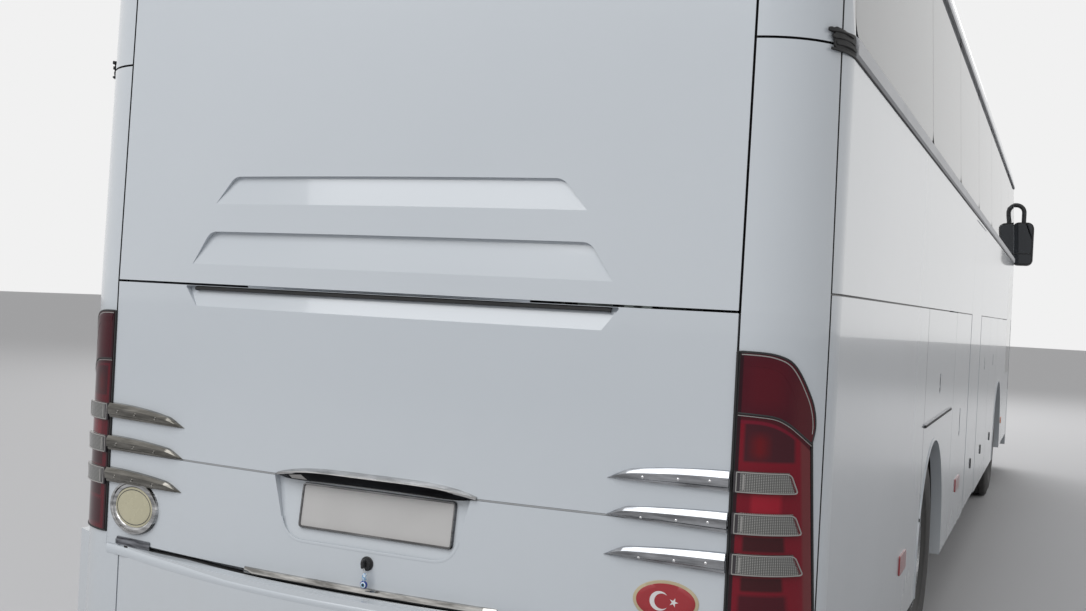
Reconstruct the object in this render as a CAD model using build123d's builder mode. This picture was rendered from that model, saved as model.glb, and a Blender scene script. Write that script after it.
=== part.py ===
from build123d import *
import math
import os

os.makedirs("parts", exist_ok=True)

# A two-axle touring coach, front towards -Y, left side towards +X, standing on z = 0.
# Sizes are millimetres. Stations are measured forwards from the rear face of the engine lid.

# Overall body
body_length = 12140
body_width = 2550
roof_height = 3600
eave_height = 3510
bumper_proud = 95
mirror_reach = 200
wall = 50
skirt_height = 410
seam_gap = 6
seam_depth = 22
touch = 0.3

# Wheels and axles
rear_axle_station = 3120
wheelbase = 6090
tyre_radius = 510
tyre_width = 290
rim_radius = 286
twin_spacing = 335
wheel_inset = 35
kingpin_inset = 240
rear_arch_radius = 562
front_arch_radius = 600
arch_flare = 14
hub_radius = 140

# Heights of the side of the body
flank_seam_height = 1708
belt_height = 2386
belt_trim_depth = 58
glass_bottom = 2417
glass_top = 3190
cant_height = 3216
floor_height = 1420
floor_thickness = 40
bay_floor_height = 460
plate_thickness = 20
glass_thickness = 7
side_lean = 3.0
shoulder_radius = 300

# Rear end
rear_face_radius = 7330
rear_corner_radius = 248
rear_lean_height = 1650
rear_lean = 1.3
profile_margin = 2
rear_roof_radius = 420
rear_seam_x = 1057
corner_seam_station = 240
post_seam_height = 2370
lid_top_height = 1645
lid_split_height = 1086
lid_bottom_height = 782
rear_bumper_bottom = 430
rear_bumper_radius = 3040
rear_window_half = 930
rear_window_bottom = 2700
rear_window_top = 3270

# Front end
front_face_radius = 3600
front_corner_radius = 380
windscreen_foot = 1450
front_lean = 2.0
windscreen_lean = 10.5
front_roof_radius = 330
front_bumper_bottom = 300
front_bumper_top = 930
front_cap_station = 11390
windscreen_half = 1130
windscreen_top = 3130
header_station = 11150

# Doors and flaps, as stations along the flank
middle_door = (5270, 6220)
front_door = (10330, 11330)
door_sill_height = 425
door_top_height = 2330
door_thickness = 42
door_open_angle = 150
door_open_out = 220
arch_panel = (2600, 4100)
flap_stations_right = ((4100, 5240), (6250, 7450), (7450, 8550))
flap_stations_left = ((4100, 5560), (5560, 7060), (7060, 8550))

roof_start_station = 560
dome_height = 3395
lid_gap = 7
lid_pin_radius = 3.5
lid_pin_half = 480
hinge_pin_radius = 3
lid_relief = 0.14
tool_reach = 420
glass_lap = 45
window_corner = 130
pane_corner = 60
rear_bumper_top = 776
bumper_wall = 45
bumper_seam_x = 990
arch_centre_height = 505

# Pressed recesses in the upper rear panel: half width at the top and at the foot, upper and lower edge
rear_recesses = ((558, 648, 1990, 1884), (647, 715, 1817, 1713))
recess_depth = 22
recess_foot = 2
recess_corner = 45
hand_grip = (740, 690, 1644, 1580, 24, 4)

# Tail lamps: distances from the centre plane and heights of the outline's corners
lamp_inner_x = 1066
lamp_top_x = 1140
lamp_top = 1544
lamp_shoulder_x = 1206
lamp_shoulder = 1480
lamp_waist_x = 1235
lamp_waist = 1322
lamp_foot_x = 1257
lamp_bottom = 812
lamp_proud = 4
strip_proud = 13

# Fins on the lid, and the lamp strips in line with them: lower and upper edge, height of the tip
fin_heights = ((1181, 1236, 1196), (1073, 1128, 1090), (967, 1022, 984))
# (upper, lower) outer end of each clear lamp strip, in the order of the fins
lamp_strip_ends = ((1196, 1212), (1208, 1224), (1212, 1230))
fin_tip_x = 730
fin_tip_rise = 22
fin_chamfer = 45
fin_proud = 24
fin_facet = 32

# Number plate in its pocket, whose flat floor leans back towards the top
plate_width = 520
plate_height = 120
plate_middle = 1004
number_plate_thickness = 6
pocket_top_half = 335
pocket_foot_half = 285
pocket_top = 1084
pocket_foot = 898
pocket_depth = 32
pocket_foot_depth = 8
pocket_corner = 85
hood_half = 338
hood_height = 1106
hood_proud = 30
hood_depth = 22
hood_bevel = 7
foot_strip_half = 430
foot_strip_top = 806
strip_foot_proud = 9

# Side glass: seams between the panes
pane_stations = (330, 2400, 3900, 5400, 6900, 8400, 9900, 11290)
pillar_lap = 50
driver_window = (10340, 11250)
driver_sill = 1770
driver_head = 2330
trim_start_station = 330
trim_end_gap = 60
trim_bottom = 2357
trim_proud = 9
trim_bevel = 8
drip_rail_bottom = 3193
drip_rail_depth = 26
drip_rail_proud = 12
front_arch_start = 8550

# Lock recesses: station, lower edge and upper edge, for the fixed arch panels and for the flaps
lock_width = 44
lock_depth = 9
lock_corner = 12
arch_locks = ((3278, 1290, 1390),)
flap_locks = {"rear": ((4650, 960, 1130),), "middle": ((6861, 1290, 1390),), "front": ((8054, 1290, 1390),)}

# Door gear
column_inset = 108
column_radius = 24
arm_heights = (740, 2280)
arm_depth = 50
arm_width = 32
arm_bow = 125
arm_bow_reach = 80
arm_bend = 50
arm_eye = 30
pin_radius = 14
bracket_half = 30
bracket_depth = 22
door_glass_low = 1130
door_glass_high = 2200
door_frame = 90

# Nose
windscreen_bottom = 1470
headlamp_x = 860
headlamp_z = 700
headlamp_width = 420
headlamp_height = 200
headlamp_corner = 70

# Floors, stairs and bays
floor_rear_station = 400
floor_front_station = 10300
platform_height = 1120
platform_front_station = 11700
stair_inner_x = 480
stair_foot_height = 445
stair_count = 4
door_clearance = 6

# Underframe: places of the members, as stations
frame_rear_station = 380
frame_front_station = 11650
rail_half = 415
rail_width = 80
rail_bottom = 690
rail_depth = 190
cross_half = 40
cross_inset = 30
cross_stations = (400, 2250, 4060, 8590, 10080, 11500)
outrigger_stations = (2250, 4050, 10080)

# Wheel housings
rear_housing_radius = 590
front_housing_radius = 612
rear_housing_x = 565
front_housing_x = 545
housing_wall = 6
axle_opening = 215

# Wheels
tread_shoulder = 34
sidewall_bulge = 105
half_rim = 112
rim_wall = 12
rim_well = 26
disc_out = 62
disc_wall = 14
cap_out = 118
cap_taper = 30
rear_cap_out = 92
hub_depth = 34
axle_end_radius = 52
stud_circle = 335
stud_count = 10
stud_hole = 26
hand_hole_circle = 432
hand_hole = 46

# Axles and knuckles
axle_tube_radius = 95
tube_gap = 30
differential_radius = 165
spring_offset = 330
spring_radius = 110
beam_half = 55
kingpin_radius = 24
kingpin_boss = 48
knuckle_gap = 5
knuckle_wall = 26

# Engine
engine_span = (460, 1760)
engine_bottom = 520
engine_top = 1300

# Chairs
chair_depth = 470
back_depth = 110
back_rake = 210
cushion_depth = 120
cushion_drop = 25
cushion_nose = 30
chair_height = 460
chair_back_height = 1150
chair_width = 440
chair_gap = 20
chair_wall_gap = 25
leg_half = 60
leg_inset = 90
chair_rows_left = (700, 1480, 2260, 3040, 3820, 4600, 5380, 6160, 6940, 7720, 8500, 9280)
chair_rows_right = (700, 1480, 2260, 3040, 3820, 4600, 6940, 7720, 8500, 9280)
driver_x = 640
driver_width = 500
driver_chair_rise = 60
pedestal_half = 165
driver_station = 10430

# Driver's place
dash_rear_station = 11180
dash_front_station = 11800
dash_knee_height = 1480
dash_top_height = 1740
dash_step = 120
dash_overhang = 90
steering_station = 11020
steering_height = 1930
steering_tilt = 24
steering_radius = 225
steering_grip = 15
steering_hub = 60
column_length = 300

# Luggage racks
rack_rear_station = 700
rack_front_station = 10200
rack_height = 3205
rack_rise = 30
rack_inner_x = 720
rack_lip = 70

# Mirrors, wipers and roof units
mirror_x = 1330
mirror_z = 2625
mirror_width = 235
mirror_height = 510
mirror_corner = 70
mirror_depth = 150
arm_root_x = 1080
arm_root_y = 620
arm_root_z = 3230
arm_top_z = 3090
mirror_arm_radius = 26
mirror_arm_bend = 90
wiper_x = 480
wiper_sweep = 420
wiper_reach = 560
wiper_foot_z = 1500
wiper_pivot = 32
wiper_width = 26
wiper_proud = 30
roof_boxes = ((1500, 640, 640, 45), (5900, 2300, 1700, 150), (9900, 640, 640, 45))
roof_box_sink = 90
roof_box_corner = 110
roof_box_taper = 12

half_width = body_width / 2
rear_y = (body_length + mirror_reach) / 2
face_y = rear_y - bumper_proud
front_y = rear_y - body_length
nose_y = front_y + (windscreen_foot - front_bumper_bottom) * math.tan(math.radians(front_lean))
far = 8000
form_bottom = 150
form_top = roof_height + 200


def at(station):
    """The Y place of a station, which is measured forwards from the rear face."""
    return face_y - station


rear_axle_y = at(rear_axle_station)
front_axle_y = rear_axle_y - wheelbase
wheel_centre_x = half_width - wheel_inset - tyre_width / 2
kingpin_x = half_width - kingpin_inset

# The rear corner arc is tangent to the curved rear face and to the flank.
corner_x = half_width - rear_corner_radius
face_centre_y = face_y - rear_face_radius
corner_y = face_centre_y + math.sqrt((rear_face_radius - rear_corner_radius) ** 2 - corner_x**2)


def rear_plan():
    """Plan outline of the tail and flanks, open far ahead."""
    angle = math.atan2(corner_x, corner_y - face_centre_y)
    tangent_x = rear_face_radius * math.sin(angle)
    tangent_y = face_centre_y + rear_face_radius * math.cos(angle)
    middle = math.pi / 4 + angle / 2
    bend_x = corner_x + rear_corner_radius * math.sin(middle)
    bend_y = corner_y + rear_corner_radius * math.cos(middle)
    with BuildSketch() as outline:
        with BuildLine():
            ThreePointArc((-tangent_x, tangent_y), (0, face_y), (tangent_x, tangent_y))
            ThreePointArc((tangent_x, tangent_y), (bend_x, bend_y), (half_width, corner_y))
            Polyline((half_width, corner_y), (half_width, -far), (-half_width, -far), (-half_width, corner_y))
            ThreePointArc((-half_width, corner_y), (-bend_x, bend_y), (-tangent_x, tangent_y))
        make_face()
    return outline.sketch


def front_plan():
    """Plan outline of the nose at the foot of the windscreen, open far behind."""
    centre_y = nose_y + front_face_radius
    bend_centre_x = half_width - front_corner_radius
    reach = math.sqrt((front_face_radius - front_corner_radius) ** 2 - bend_centre_x**2)
    bend_centre_y = centre_y - reach
    angle = math.atan2(bend_centre_x, reach)
    tangent_x = front_face_radius * math.sin(angle)
    tangent_y = centre_y - front_face_radius * math.cos(angle)
    middle = math.pi / 4 + angle / 2
    bend_x = bend_centre_x + front_corner_radius * math.sin(middle)
    bend_y = bend_centre_y - front_corner_radius * math.cos(middle)
    with BuildSketch() as outline:
        with BuildLine():
            ThreePointArc((-tangent_x, tangent_y), (0, nose_y), (tangent_x, tangent_y))
            ThreePointArc((tangent_x, tangent_y), (bend_x, bend_y), (half_width, bend_centre_y))
            Polyline(
                (half_width, bend_centre_y),
                (half_width, far),
                (-half_width, far),
                (-half_width, bend_centre_y),
            )
            ThreePointArc((-half_width, bend_centre_y), (-bend_x, bend_y), (-tangent_x, tangent_y))
        make_face()
    return outline.sketch


def cross_section():
    """Section of the body across its width: upright sides, leaned glass band, crowned roof."""
    eave_x = half_width - (eave_height - belt_height) * math.tan(math.radians(side_lean))
    with BuildSketch() as section:
        with BuildLine():
            Polyline(
                (-eave_x, eave_height),
                (-half_width, belt_height),
                (-half_width, form_bottom),
                (half_width, form_bottom),
                (half_width, belt_height),
                (eave_x, eave_height),
            )
            ThreePointArc((eave_x, eave_height), (0, roof_height), (-eave_x, eave_height))
        make_face()
        shoulders = section.vertices().filter_by_position(Axis.Y, eave_height - 1, eave_height + 1)
        fillet(shoulders, shoulder_radius)
    return section.sketch


def side_profile():
    """Profile of the body along its length: rounds the roof's ends and stands clear of both faces below."""
    tail, nose = face_y + profile_margin, nose_y - profile_margin
    lean_run = (roof_height - rear_lean_height) * math.tan(math.radians(rear_lean))
    rake_run = (roof_height - windscreen_foot) * math.tan(math.radians(windscreen_lean))
    with BuildSketch() as profile:
        with BuildLine():
            Polyline(
                (tail - lean_run, roof_height),
                (nose + rake_run, roof_height),
                (nose, windscreen_foot),
                (nose - far, windscreen_foot),
                (nose - far, form_bottom),
                (tail + far, form_bottom),
                (tail + far, rear_lean_height),
                (tail, rear_lean_height),
                (tail - lean_run, roof_height),
            )
        make_face()
        ends = profile.vertices().filter_by_position(Axis.Y, roof_height - 1, roof_height + 1).sort_by(Axis.X)
        fillet(ends[0], front_roof_radius)
        fillet(ends[-1], rear_roof_radius)
    return profile.sketch


def leaned(outline, inset, height, lean, span=(-1, 1)):
    """An outline drawn in by an inset and run up and down from a height, leaning forwards going up."""
    slope = -math.tan(math.radians(lean))
    low, high = span[0] * form_top, span[1] * form_top
    with BuildSketch(Plane.XY.offset(height + low)) as base:
        with Locations((0, slope * low)):
            add(outline)
        offset(amount=-inset)
    return Solid.extrude(base.sketch.faces()[0], Vector(0, slope * (high - low), high - low))


def leaned_tail(inset):
    """The rear plan drawn in by an inset and run square to the leaned part of the rear face."""
    lean = math.radians(rear_lean)
    up_the_lean = (0, -math.sin(lean), math.cos(lean))
    square = Plane(origin=(0, face_y, rear_lean_height), x_dir=(1, 0, 0), z_dir=up_the_lean)
    with BuildPart() as tail:
        with BuildSketch(square.offset(-form_top)):
            with Locations((0, -face_y)):
                add(rear_plan())
            offset(amount=-inset)
        extrude(amount=2 * form_top)
    return tail.part


def body_form(inset):
    """The closed outer form of the body, drawn in by an inset."""
    with BuildPart() as form:
        add(leaned(rear_plan(), inset, 0, 0))
        add(leaned_tail(inset), mode=Mode.INTERSECT)
        add(leaned(front_plan(), inset, windscreen_foot, -front_lean), mode=Mode.INTERSECT)
        add(leaned(front_plan(), inset, windscreen_foot, -windscreen_lean), mode=Mode.INTERSECT)
        with BuildSketch(Plane.XZ):
            add(cross_section())
            offset(amount=-inset)
        extrude(amount=far, both=True, mode=Mode.INTERSECT)
        with BuildSketch(Plane.YZ):
            add(side_profile())
            offset(amount=-inset)
        extrude(amount=far, both=True, mode=Mode.INTERSECT)
    return form.part


outer_form = body_form(0)
glass_form = body_form(glass_thickness)
groove_form = body_form(seam_depth)
door_form = body_form(door_thickness)
inner_form = body_form(wall)

half_gap = seam_gap / 2
everywhere = (-far, far)
tail_y = (at(roof_start_station), at(-far))
nose_span = (at(far * 2), at(front_cap_station))
lid_half = rear_seam_x - half_gap
sides = (("right", -1), ("left", 1))


def between(outer, inner):
    """The skin between two of the body's forms."""
    with BuildPart() as skin:
        add(outer)
        add(inner, mode=Mode.SUBTRACT)
    return skin.part


shell = between(outer_form, inner_form)
door_skin = between(outer_form, door_form)
glass_skin = between(outer_form, glass_form)


def block(x, y, z):
    """A box between two values of each axis."""
    with BuildPart() as box:
        with Locations(((x[0] + x[1]) / 2, (y[0] + y[1]) / 2, (z[0] + z[1]) / 2)):
            Box(abs(x[1] - x[0]), abs(y[1] - y[0]), abs(z[1] - z[0]))
    return box.part


def groove(x, y, z):
    """What a seam takes out of the skin: a thin slab, seam_depth deep."""
    with BuildPart() as cutter:
        add(block(x, y, z))
        add(groove_form, mode=Mode.SUBTRACT)
    return cutter.part


def around(value):
    """The span of a seam around a value."""
    return (value - half_gap, value + half_gap)


def stations(near, ahead):
    """The Y span between two stations."""
    return (at(ahead), at(near))


def side_span(side, near=1.0):
    """The X span of one side of the coach."""
    return (near, far) if side > 0 else (-far, -near)


def mirrored(side, near, beyond):
    """An X span given for the left side, on the side asked for."""
    return (near, beyond) if side > 0 else (-beyond, -near)


def finish(part, name):
    """Labels a finished piece and writes it."""
    part.label = name
    export_step(part, f"parts/{name}.step")


def slanted_recess(top_half, bottom_half, top, bottom, depth, corner):
    """A pressed recess in the rear face, deep under its upper lip and running out at its foot."""
    fall = math.degrees(math.atan2(depth - recess_foot, top - bottom))
    with BuildPart() as recess:
        with BuildSketch(Plane.XZ.offset(-face_y)) as mouth:
            with BuildLine():
                Polyline(
                    (-top_half, top),
                    (top_half, top),
                    (bottom_half, bottom),
                    (-bottom_half, bottom),
                    close=True,
                )
            make_face()
            fillet(mouth.vertices().group_by(Axis.Y)[-1], corner)
        extrude(amount=tool_reach, both=True)
        add(leaned(rear_plan(), depth, top, fall), mode=Mode.SUBTRACT)
    return recess.part


def end_opening(y, half, low, high, corner, inset=0.0):
    """A prism with round corners, along the coach, that cuts a window through one of its ends."""
    with BuildPart() as opening:
        with BuildSketch(Plane.XZ.offset(-y)):
            with Locations((0, (low + high) / 2)):
                RectangleRounded(2 * (half - inset), high - low - 2 * inset, corner - inset)
        extrude(amount=tool_reach, both=True)
    return opening.part


rear_window_shape = (face_y, rear_window_half, rear_window_bottom, rear_window_top, window_corner)
windscreen_shape = (nose_y, windscreen_half, windscreen_bottom, windscreen_top, window_corner)


def glass_seat(shape):
    """The rebate that a bonded pane lies in."""
    with BuildPart() as seat:
        add(end_opening(*shape))
        add(glass_form, mode=Mode.SUBTRACT)
    return seat.part


# Upper rear panel between the two upright seams, with its window and two pressed recesses
rear_panel_z = (lid_top_height + lid_gap, dome_height)
with BuildPart() as rear_panel:
    add(shell)
    add(block((-rear_seam_x, rear_seam_x), tail_y, rear_panel_z), mode=Mode.INTERSECT)
    for top_half, bottom_half, top, bottom in rear_recesses:
        add(
            slanted_recess(top_half, bottom_half, top, bottom, recess_depth, recess_corner),
            mode=Mode.SUBTRACT,
        )
    add(end_opening(*rear_window_shape, inset=glass_lap), mode=Mode.SUBTRACT)
    add(glass_seat(rear_window_shape), mode=Mode.SUBTRACT)
    for x in (-rear_seam_x, rear_seam_x):
        add(groove(around(x), tail_y, everywhere), mode=Mode.SUBTRACT)
    add(groove(everywhere, tail_y, around(dome_height)), mode=Mode.SUBTRACT)
    with BuildSketch(Plane.YZ):
        with Locations((face_y - hand_grip[4], lid_top_height + touch + lid_pin_radius)):
            Circle(lid_pin_radius)
    extrude(amount=lid_pin_half, both=True)
finish(rear_panel.part, "rear_panel")

with BuildPart() as rear_window:
    add(glass_skin)
    add(end_opening(*rear_window_shape, inset=touch), mode=Mode.INTERSECT)
finish(rear_window.part, "rear_window")

# Rear dome: the upper corners and the rounded rear edge of the roof in one moulding
with BuildPart() as rear_dome:
    add(shell)
    add(block(everywhere, tail_y, (post_seam_height, far)), mode=Mode.INTERSECT)
    add(block((-rear_seam_x, rear_seam_x), tail_y, (-far, dome_height)), mode=Mode.SUBTRACT)
    for name, side in sides:
        ahead_of_corner = (-far, at(corner_seam_station))
        add(block(side_span(side), ahead_of_corner, (-far, cant_height)), mode=Mode.SUBTRACT)
        add(groove(side_span(side), tail_y, around(post_seam_height)), mode=Mode.SUBTRACT)
        add(groove(side_span(side), around(at(corner_seam_station)), (-far, cant_height)), mode=Mode.SUBTRACT)
        add(groove(around(side * rear_seam_x), tail_y, (-far, dome_height)), mode=Mode.SUBTRACT)
    add(groove(everywhere, around(at(roof_start_station)), (cant_height, far)), mode=Mode.SUBTRACT)
finish(rear_dome.part, "rear_dome")


def lamp_prism(side):
    """Rear view of a tail lamp run along Y: straight inner edge, swept outer edge, round upper corner."""
    with BuildPart() as prism:
        with BuildSketch(Plane.XZ.offset(-face_y)):
            with BuildLine():
                Polyline(
                    (side * lamp_top_x, lamp_top),
                    (side * lamp_inner_x, lamp_top),
                    (side * lamp_inner_x, lamp_bottom),
                    (side * lamp_foot_x, lamp_bottom),
                    (side * lamp_waist_x, lamp_waist),
                )
                ThreePointArc(
                    (side * lamp_waist_x, lamp_waist),
                    (side * lamp_shoulder_x, lamp_shoulder),
                    (side * lamp_top_x, lamp_top),
                )
            make_face()
        extrude(amount=tool_reach, both=True)
    return prism.part


# Corner posts from the bumper to the belt, each cut open for its lamp, and the lamps in them
post_z = (rear_bumper_top, post_seam_height)
corner_y_span = (at(corner_seam_station), far)
with BuildPart() as corner_posts:
    for name, side in sides:
        with BuildPart(mode=Mode.PRIVATE) as post:
            add(shell)
            add(block(side_span(side, rear_seam_x), corner_y_span, post_z), mode=Mode.INTERSECT)
            lid_gap_z = (-far, lid_top_height + lid_gap)
            lid_gap_x = mirrored(side, 0, rear_seam_x + half_gap)
            add(block(lid_gap_x, everywhere, lid_gap_z), mode=Mode.SUBTRACT)
            add(groove(around(side * rear_seam_x), tail_y, everywhere), mode=Mode.SUBTRACT)
            add(groove(everywhere, tail_y, around(post_seam_height)), mode=Mode.SUBTRACT)
            add(groove(everywhere, around(at(corner_seam_station)), everywhere), mode=Mode.SUBTRACT)
            add(lamp_prism(side), mode=Mode.SUBTRACT)
        add(post.part)
finish(corner_posts.part, "corner_posts")

lamp_form = body_form(-lamp_proud)
strip_form = body_form(-strip_proud)
lamp_skin = between(lamp_form, inner_form)
strip_skin = between(strip_form, lamp_form)
with BuildPart() as tail_lamps:
    for name, side in sides:
        with BuildPart(mode=Mode.PRIVATE) as lamp:
            add(lamp_skin)
            add(lamp_prism(side), mode=Mode.INTERSECT)
            add(block(everywhere, corner_y_span, everywhere), mode=Mode.INTERSECT)
        with BuildPart(mode=Mode.PRIVATE) as strips:
            add(strip_skin)
            with BuildSketch(Plane.XZ.offset(-face_y)):
                for (low, high, tip_height), (top_end, foot_end) in zip(fin_heights, lamp_strip_ends):
                    with BuildLine():
                        Polyline(
                            (side * lamp_inner_x, low),
                            (side * foot_end, low),
                            (side * top_end, high),
                            (side * lamp_inner_x, high),
                            close=True,
                        )
                    make_face()
            extrude(amount=tool_reach, both=True, mode=Mode.INTERSECT)
            add(block(everywhere, corner_y_span, everywhere), mode=Mode.INTERSECT)
        add(lamp.part)
        add(strips.part)
finish(tail_lamps.part, "tail_lamps")


# Engine lid in two panels, hinged along its upper edge
def lid_panel(low, high):
    """A lid panel between two heights, narrow enough to swing between the corner posts."""
    with BuildPart() as panel:
        add(door_skin)
        add(block((-lid_half, lid_half), tail_y, (low, high)), mode=Mode.INTERSECT)
        add(groove(everywhere, tail_y, around(lid_split_height)), mode=Mode.SUBTRACT)
    return panel.part


pocket_slope = math.atan2(pocket_depth - pocket_foot_depth, pocket_top - pocket_foot)
pocket_floor = Plane(
    origin=(0, face_y - pocket_depth + (pocket_top - plate_middle) * math.tan(pocket_slope), plate_middle),
    x_dir=(-1, 0, 0),
    z_dir=(0, math.cos(pocket_slope), math.sin(pocket_slope)),
)
with BuildPart() as engine_lid_upper:
    add(lid_panel(lid_split_height, lid_top_height))
    add(slanted_recess(*hand_grip), mode=Mode.SUBTRACT)
finish(engine_lid_upper.part, "engine_lid_upper")

with BuildPart() as engine_lid_lower:
    add(lid_panel(lid_bottom_height, lid_split_height))
    with BuildSketch(Plane.YZ):
        with BuildLine():
            Polyline(
                (face_y, lid_bottom_height),
                (face_y - tool_reach, lid_bottom_height),
                (face_y - tool_reach, lid_bottom_height + lid_relief * tool_reach),
                close=True,
            )
        make_face()
    extrude(amount=far, both=True, mode=Mode.SUBTRACT)
    with BuildPart(mode=Mode.PRIVATE) as pocket:
        with BuildSketch(Plane.XZ.offset(-face_y)) as mouth:
            with BuildLine():
                Polyline(
                    (-pocket_top_half, pocket_top),
                    (pocket_top_half, pocket_top),
                    (pocket_foot_half, pocket_foot),
                    (-pocket_foot_half, pocket_foot),
                    close=True,
                )
            make_face()
            fillet(mouth.vertices().group_by(Axis.Y)[0], pocket_corner)
        extrude(amount=tool_reach, both=True)
        with BuildSketch(pocket_floor):
            Rectangle(2 * far, 2 * far)
        extrude(amount=-far, mode=Mode.SUBTRACT)
    add(pocket.part, mode=Mode.SUBTRACT)
finish(engine_lid_lower.part, "engine_lid_lower")

# Six faceted bright fins that carry the lamp strips on across the lid
with BuildPart() as lid_fins:
    for root_low, root_high, tip_height in fin_heights:
        for name, side in sides:
            with BuildPart(mode=Mode.PRIVATE) as fin:
                with BuildSketch(Plane.XZ.offset(-face_y)):
                    with BuildLine():
                        Polyline(
                            (side * lid_half, root_high),
                            (side * (fin_tip_x + fin_chamfer), tip_height + fin_tip_rise),
                            (side * fin_tip_x, tip_height),
                            (side * lid_half, root_low),
                            close=True,
                        )
                    make_face()
                extrude(amount=tool_reach, both=True)
                ridge = (root_low + root_high) / 2
                add(leaned(rear_plan(), -fin_proud, ridge, fin_facet), mode=Mode.INTERSECT)
                add(leaned(rear_plan(), -fin_proud, ridge, -fin_facet), mode=Mode.INTERSECT)
                add(outer_form, mode=Mode.SUBTRACT)
            add(fin.part)
finish(lid_fins.part, "lid_fins")

# Number plate on the pocket's floor, the bowed bright hood above it, and the strip along the lid's foot
with BuildPart() as plate_set:
    with BuildSketch(pocket_floor):
        Rectangle(plate_width, plate_height)
    extrude(amount=number_plate_thickness)
    with BuildPart(mode=Mode.PRIVATE) as hood:
        with BuildSketch(Plane.XY.offset(hood_height - hood_depth)):
            with BuildLine():
                hood_root = face_y - hood_proud
                ThreePointArc((-hood_half, hood_root), (0, face_y + hood_proud), (hood_half, hood_root))
                Line((hood_half, hood_root), (-hood_half, hood_root))
            make_face()
        extrude(amount=hood_depth)
        chamfer(hood.edges().group_by(Axis.Z)[-1].filter_by(GeomType.CIRCLE), hood_bevel)
        add(outer_form, mode=Mode.SUBTRACT)
    add(hood.part)
    with BuildPart(mode=Mode.PRIVATE) as foot_strip:
        add(leaned(rear_plan(), -strip_foot_proud, 0, 0))
        add(outer_form, mode=Mode.SUBTRACT)
        add(
            block((-foot_strip_half, foot_strip_half), tail_y, (lid_bottom_height, foot_strip_top)),
            mode=Mode.INTERSECT,
        )
    add(foot_strip.part)
finish(plate_set.part, "plate_set")


# Rear bumper: a bowed moulding below the lid, with corner pieces that carry the flanks round
def bumper_form(inset):
    """The bumper's plan, drawn in by an inset."""
    with BuildPart() as form:
        with BuildSketch(Plane.XY.offset(rear_bumper_bottom)):
            add(rear_plan())
            with BuildSketch(mode=Mode.ADD):
                with Locations((0, rear_y - rear_bumper_radius)):
                    Circle(rear_bumper_radius)
                with Locations((0, at(corner_seam_station) - far)):
                    Rectangle(2 * far, 2 * far, mode=Mode.SUBTRACT)
                with Locations((0, at(0))):
                    Rectangle(2 * half_width, far, mode=Mode.INTERSECT)
            offset(amount=-inset)
        extrude(amount=rear_bumper_top - rear_bumper_bottom)
    return form.part


with BuildPart() as rear_bumper:
    add(bumper_form(0))
    add(bumper_form(bumper_wall), mode=Mode.SUBTRACT)
    add(block(everywhere, (at(corner_seam_station), far), everywhere), mode=Mode.INTERSECT)
    with BuildPart(mode=Mode.PRIVATE) as bumper_seams:
        for x in (-bumper_seam_x, bumper_seam_x):
            add(block(around(x), tail_y, (rear_bumper_bottom, rear_bumper_top)))
        add(bumper_form(seam_depth), mode=Mode.SUBTRACT)
    add(bumper_seams.part, mode=Mode.SUBTRACT)
finish(rear_bumper.part, "rear_bumper")

# Roof skin and cant rails
with BuildPart() as roof:
    add(shell)
    roof_y = stations(roof_start_station, front_cap_station)
    add(block(everywhere, roof_y, (cant_height, far)), mode=Mode.INTERSECT)
    for station in (roof_start_station, front_cap_station):
        add(groove(everywhere, around(at(station)), everywhere), mode=Mode.SUBTRACT)
finish(roof.part, "roof")


# Upper side walls: flank, belt and window pillars, with the glass in a rebate on the outside
def pane_prism(side, near, ahead, inset=0.0):
    """A prism across one side of the coach, as large as a pane drawn in by an inset."""
    with BuildPart() as prism:
        with BuildSketch(Plane.YZ):
            with Locations(((at(near) + at(ahead)) / 2, (glass_bottom + glass_top) / 2)):
                RectangleRounded(ahead - near - 2 * inset, glass_top - glass_bottom - 2 * inset, pane_corner)
        extrude(amount=side * far)
    return prism.part


def flank_prism(side, near, ahead, low, high):
    """A prism across one side of the coach between stations and heights."""
    return block(side_span(side), stations(near, ahead), (low, high))


pane_spans = list(zip(pane_stations[:-1], pane_stations[1:]))
for name, side in sides:
    with BuildPart() as wall_part:
        add(shell)
        add(
            flank_prism(side, corner_seam_station, front_cap_station, flank_seam_height, cant_height),
            mode=Mode.INTERSECT,
        )
        with BuildPart(mode=Mode.PRIVATE) as glass_band:
            add(flank_prism(side, pane_stations[0], pane_stations[-1], glass_bottom, glass_top))
            add(glass_form, mode=Mode.SUBTRACT)
        add(glass_band.part, mode=Mode.SUBTRACT)
        for near, ahead in pane_spans:
            add(pane_prism(side, near, ahead, inset=pillar_lap), mode=Mode.SUBTRACT)
        if side < 0:
            for door in (middle_door, front_door):
                add(flank_prism(side, *door, 0, door_top_height + half_gap), mode=Mode.SUBTRACT)
        else:
            add(flank_prism(side, *driver_window, driver_sill, driver_head), mode=Mode.SUBTRACT)
        add(groove(everywhere, around(at(corner_seam_station)), everywhere), mode=Mode.SUBTRACT)
        add(groove(everywhere, around(at(front_cap_station)), everywhere), mode=Mode.SUBTRACT)
        add(groove(everywhere, everywhere, around(flank_seam_height)), mode=Mode.SUBTRACT)
        flap_stations = flap_stations_right if side < 0 else flap_stations_left
        for near, ahead in flap_stations:
            add(block(side_span(side), stations(near, ahead), around(flank_seam_height)), mode=Mode.SUBTRACT)
        for near, ahead in flap_stations:
            with BuildSketch(Plane.XZ.offset(-at(near + half_gap))):
                with Locations((side * (half_width - hinge_pin_radius), flank_seam_height + touch)):
                    Circle(hinge_pin_radius)
            extrude(amount=ahead - near - seam_gap)
    finish(wall_part.part, f"wall_{name}")

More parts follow.
